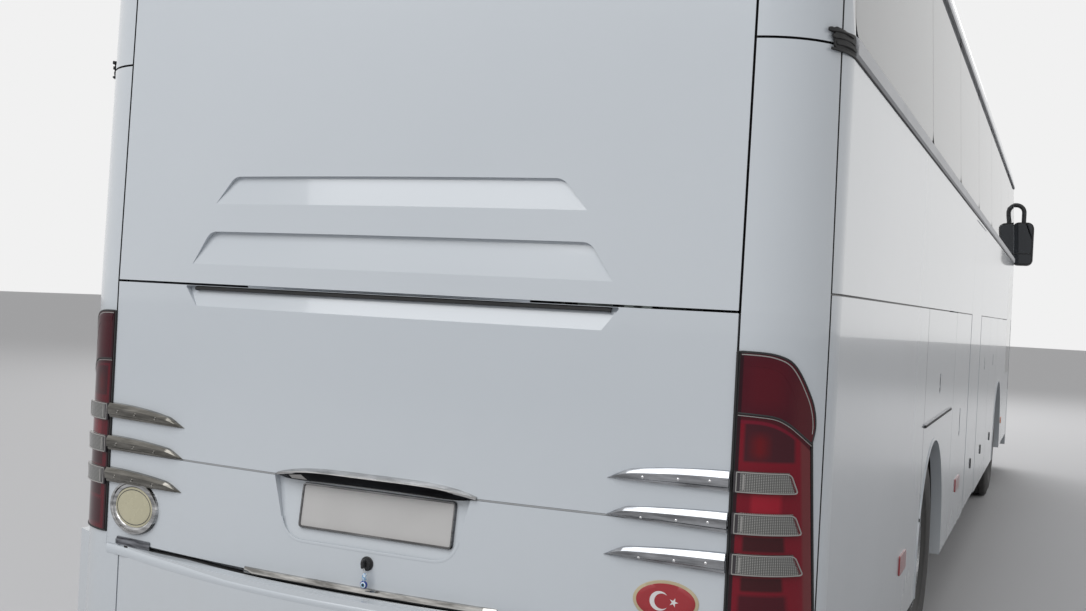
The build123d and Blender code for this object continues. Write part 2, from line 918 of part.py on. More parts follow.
with BuildPart() as side_glass:
    for name, side in sides:
        for near, ahead in pane_spans:
            with BuildPart(mode=Mode.PRIVATE) as pane:
                add(glass_skin)
                add(pane_prism(side, near, ahead, inset=half_gap), mode=Mode.INTERSECT)
            add(pane.part)
    with BuildPart(mode=Mode.PRIVATE) as driver_pane:
        driver_span = (driver_window[0] + touch, driver_window[1] - touch)
        add(flank_prism(1, *driver_span, driver_sill + touch, driver_head - touch))
        add(glass_skin, mode=Mode.INTERSECT)
    add(driver_pane.part)
finish(side_glass.part, "side_glass")

# Aluminium strips along the belt under the side glass, and drip rails above it
rail_skin = between(body_form(-drip_rail_proud), outer_form)
rail_band = (drip_rail_bottom, drip_rail_bottom + drip_rail_depth)
with BuildPart() as belt_trims:
    for name, side in sides:
        trim_end = driver_window[0] - trim_end_gap if side > 0 else front_cap_station
        with BuildPart(mode=Mode.PRIVATE) as trim:
            with BuildSketch(Plane.XZ.offset(-at(trim_start_station))):
                with BuildLine():
                    foot = side * half_width
                    Polyline(
                        (foot, trim_bottom),
                        (foot + side * trim_proud, trim_bottom + trim_bevel),
                        (foot + side * trim_proud, trim_bottom + belt_trim_depth - trim_bevel),
                        (foot, trim_bottom + belt_trim_depth),
                        (foot - side * trim_proud, trim_bottom + belt_trim_depth),
                        (foot - side * trim_proud, trim_bottom),
                        close=True,
                    )
                make_face()
            extrude(amount=trim_end - trim_start_station)
            add(outer_form, mode=Mode.SUBTRACT)
        add(trim.part)
        with BuildPart(mode=Mode.PRIVATE) as drip_rail:
            add(rail_skin)
            add(flank_prism(side, corner_seam_station, front_cap_station, *rail_band), mode=Mode.INTERSECT)
        add(drip_rail.part)
finish(belt_trims.part, "belt_trims")


# Fixed lower panels with the wheel arches
def arch_disc(y, radius, side):
    """A cylinder across one side of the coach around a wheel's centre."""
    with BuildPart() as disc:
        with BuildSketch(Plane.YZ):
            with Locations((y, arch_centre_height)):
                Circle(radius)
        extrude(amount=side * far)
    return disc.part


def lock_recesses(side, places):
    """Shallow recesses with round corners that the locks of a panel lie in."""
    with BuildPart() as recesses:
        with BuildSketch(Plane.YZ.offset(side * half_width)):
            for station, low, high in places:
                with Locations((at(station), (low + high) / 2)):
                    RectangleRounded(lock_width, high - low, lock_corner)
        extrude(amount=lock_depth, both=True)
    return recesses.part


lower_z = (skirt_height, flank_seam_height)
for name, side in sides:
    last = front_door[0] if side < 0 else front_cap_station
    fixed = ((corner_seam_station, arch_panel[1]), (front_arch_start, last))
    flap_stations = flap_stations_right if side < 0 else flap_stations_left
    with BuildPart() as lower:
        for near, ahead in fixed:
            with BuildPart(mode=Mode.PRIVATE) as panel:
                add(shell)
                add(flank_prism(side, near, ahead, *lower_z), mode=Mode.INTERSECT)
            add(panel.part)
        for y, radius in ((rear_axle_y, rear_arch_radius), (front_axle_y, front_arch_radius)):
            with BuildPart(mode=Mode.PRIVATE) as flare:
                add(arch_disc(y, radius + arch_flare, side))
                with BuildPart(mode=Mode.INTERSECT):
                    add(between(lamp_form, inner_form))
                    add(block(everywhere, everywhere, (skirt_height, far)), mode=Mode.INTERSECT)
            add(flare.part)
            add(arch_disc(y, radius, side), mode=Mode.SUBTRACT)
        seam_stations = [corner_seam_station, arch_panel[0], arch_panel[1], front_arch_start]
        for station in seam_stations:
            add(groove(everywhere, around(at(station)), everywhere), mode=Mode.SUBTRACT)
        add(groove(everywhere, everywhere, around(flank_seam_height)), mode=Mode.SUBTRACT)
        add(lock_recesses(side, arch_locks), mode=Mode.SUBTRACT)
    finish(lower.part, f"lower_panels_{name}")


# Luggage flaps, hinged along their upper edges
def leaf_blank(side, near, ahead, low, high):
    """A moving panel of the flank with half a seam taken off each end."""
    with BuildPart() as leaf:
        add(door_skin)
        add(flank_prism(side, near + half_gap, ahead - half_gap, low, high), mode=Mode.INTERSECT)
    return leaf.part


flap_names = ("rear", "middle", "front")
for name, side in sides:
    flap_stations = flap_stations_right if side < 0 else flap_stations_left
    for place, (near, ahead) in zip(flap_names, flap_stations):
        with BuildPart() as flap:
            add(leaf_blank(side, near, ahead, skirt_height, flank_seam_height - half_gap))
            add(lock_recesses(side, flap_locks[place]), mode=Mode.SUBTRACT)
        finish(flap.part, f"flap_{name}_{place}")

# Plug doors: flush leaves carried on curved arms from an upright column
door_plan = (("front", front_door), ("middle", middle_door))
door_parts = {}
swing = math.radians(door_open_angle)
arm_radius = door_open_out / math.sin(swing)
column_x = -(half_width - column_inset)
for name, span in door_plan:
    with BuildPart() as leaf:
        add(leaf_blank(-1, span[0], span[1], door_sill_height, door_top_height - half_gap))
        if name == "front":
            with BuildSketch(Plane.YZ):
                with Locations(((at(span[0]) + at(span[1])) / 2, (door_glass_low + door_glass_high) / 2)):
                    RectangleRounded(
                        span[1] - span[0] - 2 * door_frame, door_glass_high - door_glass_low, pane_corner
                    )
            extrude(amount=-far, mode=Mode.SUBTRACT)
        pivot_y = (at(span[0]) + at(span[1])) / 2
        leaf_inner_x = -(half_width - door_thickness)
        for z in arm_heights:
            shelf = z - arm_depth / 2 - touch
            bracket_y = (pivot_y - bracket_half, pivot_y + bracket_half)
            add(block((leaf_inner_x, column_x + bracket_half), bracket_y, (shelf - bracket_depth, shelf)))
            with Locations((column_x, pivot_y, shelf)):
                Cylinder(pin_radius, arm_depth + touch, align=(Align.CENTER, Align.CENTER, Align.MIN))
    door_parts[name] = leaf.part
    finish(leaf.part, f"door_leaf_{name}")

    with BuildPart() as arm:
        column_y = pivot_y - arm_radius
        with Locations((column_x, column_y, stair_foot_height + touch)):
            Cylinder(
                column_radius,
                door_top_height - stair_foot_height - 2 * touch,
                align=(Align.CENTER, Align.CENTER, Align.MIN),
            )
        for z in arm_heights:
            with BuildSketch(Plane.XY.offset(z - arm_depth / 2)):
                with BuildLine() as path:
                    FilletPolyline(
                        (column_x, column_y),
                        (column_x + arm_bow, column_y + arm_bow_reach),
                        (column_x, pivot_y),
                        radius=arm_bend,
                    )
                trace(line_width=arm_width)
                with Locations((column_x, pivot_y)):
                    Circle(arm_eye)
                with Locations((column_x, pivot_y)):
                    Circle(pin_radius + touch, mode=Mode.SUBTRACT)
            extrude(amount=arm_depth)
    finish(arm.part, f"door_arm_{name}")

with BuildPart() as door_glass:
    with BuildSketch(Plane.YZ):
        with Locations(((at(front_door[0]) + at(front_door[1])) / 2, (door_glass_low + door_glass_high) / 2)):
            RectangleRounded(
                front_door[1] - front_door[0] - 2 * door_frame - 2 * touch,
                door_glass_high - door_glass_low - 2 * touch,
                pane_corner,
            )
    extrude(amount=-far)
    add(glass_skin, mode=Mode.INTERSECT)
finish(door_glass.part, "door_glass_front")

# Front mask around the windscreen, the windscreen, and the front bumper
with BuildPart() as front_mask:
    add(shell)
    add(block(everywhere, nose_span, (front_bumper_top, far)), mode=Mode.INTERSECT)
    add(end_opening(*windscreen_shape, inset=glass_lap), mode=Mode.SUBTRACT)
    add(glass_seat(windscreen_shape), mode=Mode.SUBTRACT)
    add(groove(everywhere, around(at(front_cap_station)), everywhere), mode=Mode.SUBTRACT)
    add(groove(everywhere, everywhere, around(front_bumper_top)), mode=Mode.SUBTRACT)
finish(front_mask.part, "front_mask")

with BuildPart() as windscreen:
    add(glass_skin)
    add(end_opening(*windscreen_shape, inset=touch), mode=Mode.INTERSECT)
finish(windscreen.part, "windscreen")

with BuildPart() as front_bumper:
    add(shell)
    add(block(everywhere, nose_span, (front_bumper_bottom, front_bumper_top)), mode=Mode.INTERSECT)
    add(groove(everywhere, everywhere, around(front_bumper_top)), mode=Mode.SUBTRACT)
    with BuildSketch(Plane.XZ.offset(-nose_y)):
        with Locations((-headlamp_x, headlamp_z), (headlamp_x, headlamp_z)):
            RectangleRounded(headlamp_width, headlamp_height, headlamp_corner)
    extrude(amount=tool_reach, both=True, mode=Mode.SUBTRACT)
finish(front_bumper.part, "front_bumper")

with BuildPart() as headlamps:
    for side in (-1, 1):
        with BuildPart(mode=Mode.PRIVATE) as headlamp:
            add(shell)
            lamp_z = (headlamp_z - headlamp_height, headlamp_z + headlamp_height)
            add(block(side_span(side), nose_span, lamp_z), mode=Mode.INTERSECT)
            with BuildSketch(Plane.XZ.offset(-nose_y)):
                with Locations((side * headlamp_x, headlamp_z)):
                    RectangleRounded(headlamp_width - 2 * touch, headlamp_height - 2 * touch, headlamp_corner)
            extrude(amount=tool_reach, both=True, mode=Mode.INTERSECT)
        add(headlamp.part)
finish(headlamps.part, "headlamps")

# Cabin floor with the two stairwells, and the raised platform beside the driver
inner_x = half_width - wall
floor_z = (floor_height - floor_thickness, floor_height)
with BuildPart() as cabin_floor:
    add(block((-inner_x, inner_x), stations(floor_rear_station, floor_front_station), floor_z))
    add(block((-far, -stair_inner_x), stations(*middle_door), everywhere), mode=Mode.SUBTRACT)
    platform_z = (platform_height - floor_thickness, platform_height)
    add(block((-stair_inner_x, inner_x), stations(floor_front_station, platform_front_station), platform_z))
    riser_z = (platform_height, floor_height)
    riser_y = stations(floor_front_station - plate_thickness, floor_front_station)
    add(block((-stair_inner_x, inner_x), riser_y, riser_z))
    add(inner_form, mode=Mode.INTERSECT)
finish(cabin_floor.part, "cabin_floor")


def stair(span, top, count):
    """A folded stair from the door up to a floor, closed at its two ends by stairwell walls."""
    well_width = inner_x - stair_inner_x
    tread = well_width / count
    rise = (top - stair_foot_height) / count
    with BuildPart() as steps:
        with BuildSketch(Plane.XZ.offset(-at(span[1]))) as profile:
            points = [(-inner_x + half_gap, stair_foot_height)]
            for step in range(count):
                edge = -inner_x + (step + 1) * tread
                points.append((edge, stair_foot_height + step * rise))
                points.append((edge, stair_foot_height + (step + 1) * rise))
            lower = [(x + plate_thickness, z - plate_thickness) for x, z in reversed(points)]
            points[-1] = (points[-1][0], top - floor_thickness)
            lower[0] = (points[-1][0] + plate_thickness, top - floor_thickness)
            lower[-1] = (points[0][0], points[0][1] - plate_thickness)
            with BuildLine():
                Polyline(*points, *lower, close=True)
            make_face()
        extrude(amount=-(span[1] - span[0]))
    return steps.part


with BuildPart() as stairs:
    add(stair(middle_door, floor_height, stair_count))
    add(stair(front_door, platform_height, stair_count - 1))
finish(stairs.part, "stairs")

# Luggage bay between the axles: a floor, a bulkhead at each end and walls around the stairwell
bay_x = half_width - wall
bay_top = floor_height - floor_thickness
with BuildPart() as luggage_bay:
    bay_span = (flap_stations_right[0][0], flap_stations_right[-1][1])
    bay_z = (bay_floor_height - plate_thickness, bay_floor_height)
    add(block((-bay_x + door_clearance, bay_x - door_clearance), stations(*bay_span), bay_z))
    add(block((-far, -stair_inner_x + plate_thickness), stations(*middle_door), bay_z), mode=Mode.SUBTRACT)
    for station in (bay_span[0], bay_span[1] - plate_thickness):
        add(
            block(
                (-bay_x + door_clearance, bay_x - door_clearance),
                stations(station, station + plate_thickness),
                (bay_floor_height, bay_top),
            )
        )
    for station in (middle_door[0] - plate_thickness, middle_door[1]):
        add(
            block(
                (-bay_x + door_clearance, -stair_inner_x + plate_thickness),
                stations(station, station + plate_thickness),
                (bay_floor_height - plate_thickness, bay_top),
            )
        )
finish(luggage_bay.part, "luggage_bay")

# Underframe: two long rails with cross members, and the outriggers that carry the flanks
rail_z = (rail_bottom, rail_bottom + rail_depth)
with BuildPart() as underframe:
    for side in (-1, 1):
        for near, ahead in ((frame_rear_station, bay_span[0]), (bay_span[1], frame_front_station)):
            rail_x = mirrored(side, rail_half - rail_width / 2, rail_half + rail_width / 2)
            add(block(rail_x, stations(near, ahead), rail_z))
    for station in cross_stations:
        add(
            block(
                (-rail_half, rail_half),
                stations(station - cross_half, station + cross_half),
                (rail_bottom + cross_inset, rail_bottom + rail_depth - cross_inset),
            )
        )
    for station in outrigger_stations:
        for side in (-1, 1):
            add(
                block(
                    mirrored(side, rail_half, inner_x),
                    stations(station - cross_half, station + cross_half),
                    (rail_bottom + cross_inset, rail_bottom + rail_depth - cross_inset),
                )
            )
            add(
                block(
                    mirrored(side, inner_x - rail_width, inner_x),
                    stations(station - cross_half, station + cross_half),
                    (rail_bottom + cross_inset, floor_height - floor_thickness),
                )
            )
finish(underframe.part, "underframe")

# Wheel housings: half drums over the wheels with a plate on the inner side
with BuildPart() as wheel_housings:
    for y, radius, inner in (
        (rear_axle_y, rear_housing_radius, rear_housing_x),
        (front_axle_y, front_housing_radius, front_housing_x),
    ):
        for name, side in sides:
            with BuildPart(mode=Mode.PRIVATE) as housing:
                with BuildSketch(Plane.YZ.offset(side * inner)) as drum:
                    with Locations((y, arch_centre_height)):
                        Circle(radius + housing_wall)
                        Circle(radius, mode=Mode.SUBTRACT)
                    with Locations((y, arch_centre_height - radius)):
                        Rectangle(4 * radius, 2 * radius, mode=Mode.SUBTRACT)
                extrude(amount=side * (inner_x - inner))
                with BuildSketch(Plane.YZ.offset(side * inner)):
                    with Locations((y, arch_centre_height)):
                        Circle(radius + housing_wall)
                    with Locations((y, arch_centre_height + axle_opening - 2 * radius)):
                        Rectangle(4 * radius, 4 * radius, mode=Mode.SUBTRACT)
                extrude(amount=side * housing_wall)
            add(housing.part)
finish(wheel_housings.part, "wheel_housings")


# Wheels
def wheel_plane(y):
    """The plane across the coach that holds a wheel's section, with its origin on the wheel's axis."""
    return Plane(origin=(0, y, tyre_radius), x_dir=(1, 0, 0), z_dir=(0, -1, 0))


def spun(y, x, rows, side):
    """A ring turned about a wheel's axis from rows of (distance outwards, radius)."""
    with BuildPart() as ring:
        with BuildSketch(wheel_plane(y)):
            with BuildLine():
                Polyline(*[(side * (x + out), radius) for out, radius in rows], close=True)
            make_face()
        revolve(axis=Axis((0, y, tyre_radius), (1, 0, 0)))
    return ring.part


half_tyre = tyre_width / 2
half_tread = half_tyre - tread_shoulder
tyre_rows = (
    (-half_tread, tyre_radius),
    (half_tread, tyre_radius),
    (half_tyre, tyre_radius - sidewall_bulge),
    (half_rim, rim_radius),
    (-half_rim, rim_radius),
    (-half_tyre, tyre_radius - sidewall_bulge),
)
front_rim_rows = (
    (half_rim, rim_radius),
    (half_rim, rim_radius - rim_wall),
    (disc_out, rim_radius - rim_well),
    (disc_out, hub_radius),
    (cap_out, hub_radius - cap_taper),
    (cap_out, axle_end_radius),
    (disc_out - hub_depth, axle_end_radius),
    (disc_out - hub_depth, hub_radius),
    (disc_out - disc_wall, hub_radius),
    (disc_out - disc_wall, rim_radius - rim_well - rim_wall),
    (-half_rim, rim_radius - rim_wall),
    (-half_rim, rim_radius),
)


def bolt_holes(part, y, side, x):
    """A wheel disc with its ring of stud holes and the hand holes between them."""
    with BuildPart() as drilled:
        add(part)
        with BuildSketch(Plane(origin=(side * x, y, tyre_radius), x_dir=(0, 1, 0), z_dir=(side, 0, 0))):
            with PolarLocations(stud_circle / 2, stud_count):
                Circle(stud_hole / 2)
            with PolarLocations(hand_hole_circle / 2, stud_count, start_angle=180 / stud_count):
                Circle(hand_hole / 2)
        extrude(amount=disc_wall * 3, both=True, mode=Mode.SUBTRACT)
    return drilled.part


for name, side in sides:
    finish(spun(front_axle_y, wheel_centre_x, tyre_rows, side), f"tyre_front_{name}")
    rim = spun(front_axle_y, wheel_centre_x, front_rim_rows, side)
    finish(bolt_holes(rim, front_axle_y, side, wheel_centre_x + disc_out), f"rim_front_{name}")

twin_middle = -twin_spacing / 2
rear_rim_rows = (
    (half_rim, rim_radius),
    (half_rim, rim_radius - rim_wall),
    (twin_middle + disc_wall, rim_radius - rim_well),
    (twin_middle + disc_wall, hub_radius),
    (rear_cap_out, hub_radius - cap_taper),
    (rear_cap_out, axle_end_radius),
    (twin_middle - hub_depth, axle_end_radius),
    (twin_middle - hub_depth, hub_radius),
    (twin_middle - disc_wall, hub_radius),
    (twin_middle - disc_wall, rim_radius - rim_well),
    (-twin_spacing - half_rim, rim_radius - rim_wall),
    (-twin_spacing - half_rim, rim_radius),
    (-twin_spacing + half_rim, rim_radius),
    (twin_middle, rim_radius - rim_wall),
    (-half_rim, rim_radius),
)
for name, side in sides:
    with BuildPart() as twins:
        add(spun(rear_axle_y, wheel_centre_x, tyre_rows, side))
        add(spun(rear_axle_y, wheel_centre_x - twin_spacing, tyre_rows, side))
    finish(twins.part, f"tyres_rear_{name}")
    rim = spun(rear_axle_y, wheel_centre_x, rear_rim_rows, side)
    finish(bolt_holes(rim, rear_axle_y, side, wheel_centre_x + twin_middle), f"rim_rear_{name}")

# Rear axle: tube, differential, stub ends, air springs and the beams under them
end_radius = axle_end_radius - touch
tube_end = wheel_centre_x - twin_spacing - half_rim - tube_gap
stub_end_x = wheel_centre_x + twin_middle
with BuildPart() as rear_axle:
    with BuildSketch(wheel_plane(rear_axle_y)):
        with BuildLine():
            Polyline(
                (-stub_end_x, 0),
                (-stub_end_x, end_radius),
                (-tube_end, end_radius),
                (-tube_end, axle_tube_radius),
                (-differential_radius, axle_tube_radius),
                (-differential_radius / 2, differential_radius),
                (differential_radius / 2, differential_radius),
                (differential_radius, axle_tube_radius),
                (tube_end, axle_tube_radius),
                (tube_end, end_radius),
                (stub_end_x, end_radius),
                (stub_end_x, 0),
                close=True,
            )
        make_face()
    revolve(axis=Axis((0, rear_axle_y, tyre_radius), (1, 0, 0)))
    for side in (-1, 1):
        beam_z = (tyre_radius + axle_tube_radius - plate_thickness, tyre_radius + axle_tube_radius)
        beam_y = (rear_axle_y - spring_offset - spring_radius, rear_axle_y + spring_offset + spring_radius)
        add(block(mirrored(side, rail_half - rail_width, rail_half + rail_width), beam_y, beam_z))
        for offset_y in (-spring_offset, spring_offset):
            with Locations((side * rail_half, rear_axle_y + offset_y, beam_z[1])):
                Cylinder(
                    spring_radius,
                    rail_bottom - touch - beam_z[1],
                    align=(Align.CENTER, Align.CENTER, Align.MIN),
                )
finish(rear_axle.part, "rear_axle")

# Front axle beam with its kingpin eyes and air springs, and the two steering knuckles
with BuildPart() as front_axle:
    add(
        block(
            (-kingpin_x, kingpin_x),
            (front_axle_y - beam_half, front_axle_y + beam_half),
            (tyre_radius - beam_half, tyre_radius + beam_half),
        )
    )
    for side in (-1, 1):
        with Locations((side * kingpin_x, front_axle_y, tyre_radius)):
            Cylinder(kingpin_boss, 2 * beam_half)
    for side in (-1, 1):
        with Locations((side * kingpin_x, front_axle_y, tyre_radius)):
            Cylinder(kingpin_radius + touch, 4 * beam_half, mode=Mode.SUBTRACT)
        with Locations((side * rail_half, front_axle_y, tyre_radius + beam_half)):
            Cylinder(
                spring_radius,
                rail_bottom - touch - tyre_radius - beam_half,
                align=(Align.CENTER, Align.CENTER, Align.MIN),
            )
finish(front_axle.part, "front_axle")

for name, side in sides:
    with BuildPart() as knuckle:
        with Locations((side * kingpin_x, front_axle_y, tyre_radius)):
            Cylinder(kingpin_radius, 2 * (beam_half + knuckle_gap + knuckle_wall))
        for direction in (-1, 1):
            low = tyre_radius + direction * (beam_half + knuckle_gap + knuckle_wall / 2)
            with Locations((side * kingpin_x, front_axle_y, low)):
                Cylinder(kingpin_boss, knuckle_wall)
        web_root = kingpin_x + kingpin_boss + knuckle_gap
        web_x = mirrored(side, web_root, web_root + knuckle_wall)
        web_z = (
            tyre_radius - beam_half - knuckle_gap - knuckle_wall,
            tyre_radius + beam_half + knuckle_gap + knuckle_wall,
        )
        add(block(web_x, (front_axle_y - kingpin_boss, front_axle_y + kingpin_boss), web_z))
        for direction in (-1, 1):
            low = tyre_radius + direction * (beam_half + knuckle_gap + knuckle_wall / 2)
            add(
                block(
                    mirrored(side, kingpin_x, kingpin_x + kingpin_boss + knuckle_gap + knuckle_wall),
                    (front_axle_y - kingpin_boss, front_axle_y + kingpin_boss),
                    (low - knuckle_wall / 2, low + knuckle_wall / 2),
                )
            )
        stub_start = kingpin_x + kingpin_boss + knuckle_gap
        stub_end = wheel_centre_x + disc_out
        with Locations(Location((side * (stub_start + stub_end) / 2, front_axle_y, tyre_radius), (0, 90, 0))):
            Cylinder(end_radius, stub_end - stub_start)
    finish(knuckle.part, f"knuckle_{name}")

# Engine block and gearbox across the tail, as one heavy mass on the rails
with BuildPart() as engine:
    engine_half = rail_half - rail_width / 2
    add(block((-engine_half, engine_half), stations(*engine_span), (engine_bottom, engine_top)))
finish(engine.part, "engine")


# Chairs: the driver's chair on its pedestal, and paired passenger chairs in rows
def chair(x, width, y, floor, seat_height, back_height):
    """One chair facing forwards: a cushion, and a raked back standing behind it."""
    seat_z = floor + seat_height
    hip = (y - back_depth, seat_z - cushion_drop)
    with BuildPart() as padded:
        with BuildSketch(Plane.YZ.offset(x - width / 2)):
            with BuildLine():
                Polyline(
                    (y - chair_depth, seat_z - cushion_depth),
                    (y - chair_depth, seat_z - cushion_nose),
                    (y - chair_depth + cushion_nose, seat_z),
                    hip,
                    (y, seat_z - cushion_depth),
                    close=True,
                )
            make_face()
            with BuildLine():
                Polyline(
                    (hip[0] + touch, hip[1]),
                    (hip[0] + back_rake, floor + back_height),
                    (y + back_rake, floor + back_height),
                    (y + touch, seat_z - cushion_depth),
                    close=True,
                )
            make_face()
        extrude(amount=width)
    return padded.part


with BuildPart() as passenger_chairs:
    leg_x = inner_x - chair_wall_gap - chair_width - chair_gap / 2
    for side, rows in ((1, chair_rows_left), (-1, chair_rows_right)):
        with BuildPart(mode=Mode.PRIVATE) as pair:
            for place in (0, 1):
                x = inner_x - chair_wall_gap - chair_width / 2 - place * (chair_width + chair_gap)
                add(chair(side * x, chair_width, 0, floor_height, chair_height, chair_back_height))
            leg_y = (leg_inset - chair_depth, -leg_inset)
            leg_z = (floor_height, floor_height + chair_height - cushion_depth - touch)
            add(block(mirrored(side, leg_x - leg_half, leg_x + leg_half), leg_y, leg_z))
        with Locations(*[(0, at(station), 0) for station in rows]):
            add(pair.part)
finish(passenger_chairs.part, "passenger_chairs")

with BuildPart() as driver_chair:
    driver_cushion_top = chair_height + driver_chair_rise
    driver_front = at(driver_station)
    add(chair(driver_x, driver_width, driver_front, platform_height, driver_cushion_top, chair_back_height))
    pedestal_z = (platform_height, platform_height + driver_cushion_top - cushion_depth - touch)
    pedestal_y = (driver_front - chair_depth + leg_inset, driver_front - leg_inset)
    add(block((driver_x - pedestal_half, driver_x + pedestal_half), pedestal_y, pedestal_z))
finish(driver_chair.part, "driver_chair")

# Dashboard desk, and the steering wheel on its column
with BuildPart() as dashboard:
    with BuildSketch(Plane.YZ.offset(-stair_inner_x + plate_thickness)):
        with BuildLine():
            Polyline(
                (at(dash_rear_station), platform_height),
                (at(dash_rear_station), dash_knee_height),
                (at(dash_rear_station) + dash_overhang, dash_top_height - dash_step),
                (at(dash_rear_station), dash_top_height),
                (at(dash_front_station), dash_top_height),
                (at(dash_front_station), platform_height),
                close=True,
            )
        make_face()
    extrude(amount=inner_x + stair_inner_x - plate_thickness)
    add(inner_form, mode=Mode.INTERSECT)
finish(dashboard.part, "dashboard")

steering_plane = Plane(
    origin=(driver_x, at(steering_station), steering_height),
    x_dir=(1, 0, 0),
    z_dir=(0, math.sin(math.radians(steering_tilt)), math.cos(math.radians(steering_tilt))),
)
with BuildPart() as steering_wheel:
    with Locations(steering_plane):
        Torus(steering_radius, steering_grip)
        Box(2 * steering_radius, 2 * steering_grip, steering_grip)
        Cylinder(steering_hub, 2 * steering_grip)
        Cylinder(steering_hub / 2, column_length, align=(Align.CENTER, Align.CENTER, Align.MAX))
    add(dashboard.part, mode=Mode.SUBTRACT)
finish(steering_wheel.part, "steering_wheel")

# Luggage racks along both sides, above the side glass
with BuildPart() as luggage_racks:
    for name, side in sides:
        with BuildPart(mode=Mode.PRIVATE) as rack:
            with BuildSketch(Plane.XZ.offset(-at(rack_rear_station))):
                with BuildLine():
                    Polyline(
                        (side * half_width, rack_height),
                        (side * rack_inner_x, rack_height + rack_rise),
                        (side * rack_inner_x, rack_height + rack_rise + rack_lip),
                        (side * (rack_inner_x + plate_thickness), rack_height + rack_rise + rack_lip),
                        (side * (rack_inner_x + plate_thickness), rack_height + rack_rise + plate_thickness),
                        (side * half_width, rack_height + plate_thickness),
                        close=True,
                    )
                make_face()
            extrude(amount=rack_front_station - rack_rear_station)
            add(inner_form, mode=Mode.INTERSECT)
        add(rack.part)
finish(luggage_racks.part, "luggage_racks")

# Mirrors: drooping heads on curved arms from the upper front corners
with BuildPart() as mirrors:
    for name, side in sides:
        with BuildPart(mode=Mode.PRIVATE) as mirror:
            with BuildSketch(Plane.XZ.offset(-(front_y + mirror_depth - mirror_reach))):
                with Locations((side * mirror_x, mirror_z)):
                    RectangleRounded(mirror_width, mirror_height, mirror_corner)
            extrude(amount=mirror_depth)
            with BuildLine() as arm_path:
                FilletPolyline(
                    (side * arm_root_x, front_y + arm_root_y, arm_root_z),
                    (side * arm_root_x, front_y - mirror_reach + mirror_depth / 2, arm_top_z),
                    (side * mirror_x, front_y - mirror_reach + mirror_depth / 2, arm_top_z),
                    (side * mirror_x, front_y - mirror_reach + mirror_depth / 2, mirror_z),
                    radius=mirror_arm_bend,
                )
            with BuildSketch(Plane(origin=arm_path.line @ 0, z_dir=arm_path.line % 0)):
                Circle(mirror_arm_radius)
            sweep()
            add(outer_form, mode=Mode.SUBTRACT)
        add(mirror.part)
finish(mirrors.part, "mirrors")

# Wipers lying on the windscreen, roof hatches and the roof cooling unit
wiper_skin = between(body_form(-wiper_proud), outer_form)
with BuildPart() as wipers:
    for x in (-wiper_x, wiper_x):
        with BuildPart(mode=Mode.PRIVATE) as wiper:
            with BuildSketch(Plane.XZ.offset(-nose_y)) as lines:
                with Locations((x, wiper_foot_z)):
                    Circle(wiper_pivot)
                with BuildLine() as arm_line:
                    Line((x, wiper_foot_z), (x - wiper_sweep, wiper_foot_z + wiper_reach))
                trace(line_width=wiper_width)
            extrude(amount=tool_reach, both=True)
            add(wiper_skin, mode=Mode.INTERSECT)
            add(block(everywhere, nose_span, everywhere), mode=Mode.INTERSECT)
        add(wiper.part)
finish(wipers.part, "wipers")

with BuildPart() as roof_units:
    for station, length, width, height in roof_boxes:
        with BuildPart(mode=Mode.PRIVATE) as unit:
            with BuildSketch(Plane.XY.offset(roof_height - roof_box_sink)):
                with Locations((0, at(station))):
                    RectangleRounded(width, length, roof_box_corner)
            extrude(amount=height + roof_box_sink, taper=roof_box_taper)
            add(outer_form, mode=Mode.SUBTRACT)
        add(unit.part)
finish(roof_units.part, "roof_units")
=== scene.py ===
import math
import bmesh
import bpy
from mathutils import Matrix, Vector
from mathutils.bvhtree import BVHTree


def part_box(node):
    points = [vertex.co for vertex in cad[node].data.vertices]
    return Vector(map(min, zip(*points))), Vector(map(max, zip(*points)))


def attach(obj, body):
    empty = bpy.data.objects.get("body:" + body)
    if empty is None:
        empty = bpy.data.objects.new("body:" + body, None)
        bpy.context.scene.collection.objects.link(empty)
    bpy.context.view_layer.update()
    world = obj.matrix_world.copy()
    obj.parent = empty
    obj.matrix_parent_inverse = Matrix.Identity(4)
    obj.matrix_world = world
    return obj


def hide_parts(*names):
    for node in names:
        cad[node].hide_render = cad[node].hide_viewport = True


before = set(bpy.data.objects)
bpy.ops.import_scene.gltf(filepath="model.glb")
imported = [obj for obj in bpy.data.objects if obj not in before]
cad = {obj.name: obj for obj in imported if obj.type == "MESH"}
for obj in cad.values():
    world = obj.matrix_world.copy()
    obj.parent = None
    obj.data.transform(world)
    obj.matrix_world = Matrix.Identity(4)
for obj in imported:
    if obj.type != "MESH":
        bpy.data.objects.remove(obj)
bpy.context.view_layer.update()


# Underframe: two long channel rails with cross members and outriggers, welded from pressed
# steel, and the sheet-steel housings over the wheels. All of it is sprayed with black
# underbody wax, dusty towards the road.
def new_material(name):
    """A material, its node tree and its own shader."""
    material = bpy.data.materials.new(name)
    material.use_nodes = True
    return material, material.node_tree, material.node_tree.nodes["Principled BSDF"]


def feed(tree, socket, value):
    """Links another node's socket to a socket, or sets a constant on it."""
    if isinstance(value, bpy.types.NodeSocket):
        tree.links.new(value, socket)
    elif value is not None:
        socket.default_value = value


def add_node(tree, kind, inputs=None, **settings):
    """A shader node with its inputs fed."""
    node = tree.nodes.new("ShaderNode" + kind)
    for name, value in settings.items():
        setattr(node, name, value)
    for name, value in (inputs or {}).items():
        feed(tree, node.inputs[name], value)
    return node


def calc(tree, operation, *values, clamp=False):
    """A sum on values that change over the surface."""
    node = tree.nodes.new("ShaderNodeMath")
    node.operation = operation
    node.use_clamp = clamp
    for socket, value in zip(node.inputs, values):
        feed(tree, socket, value)
    return node.outputs[0]


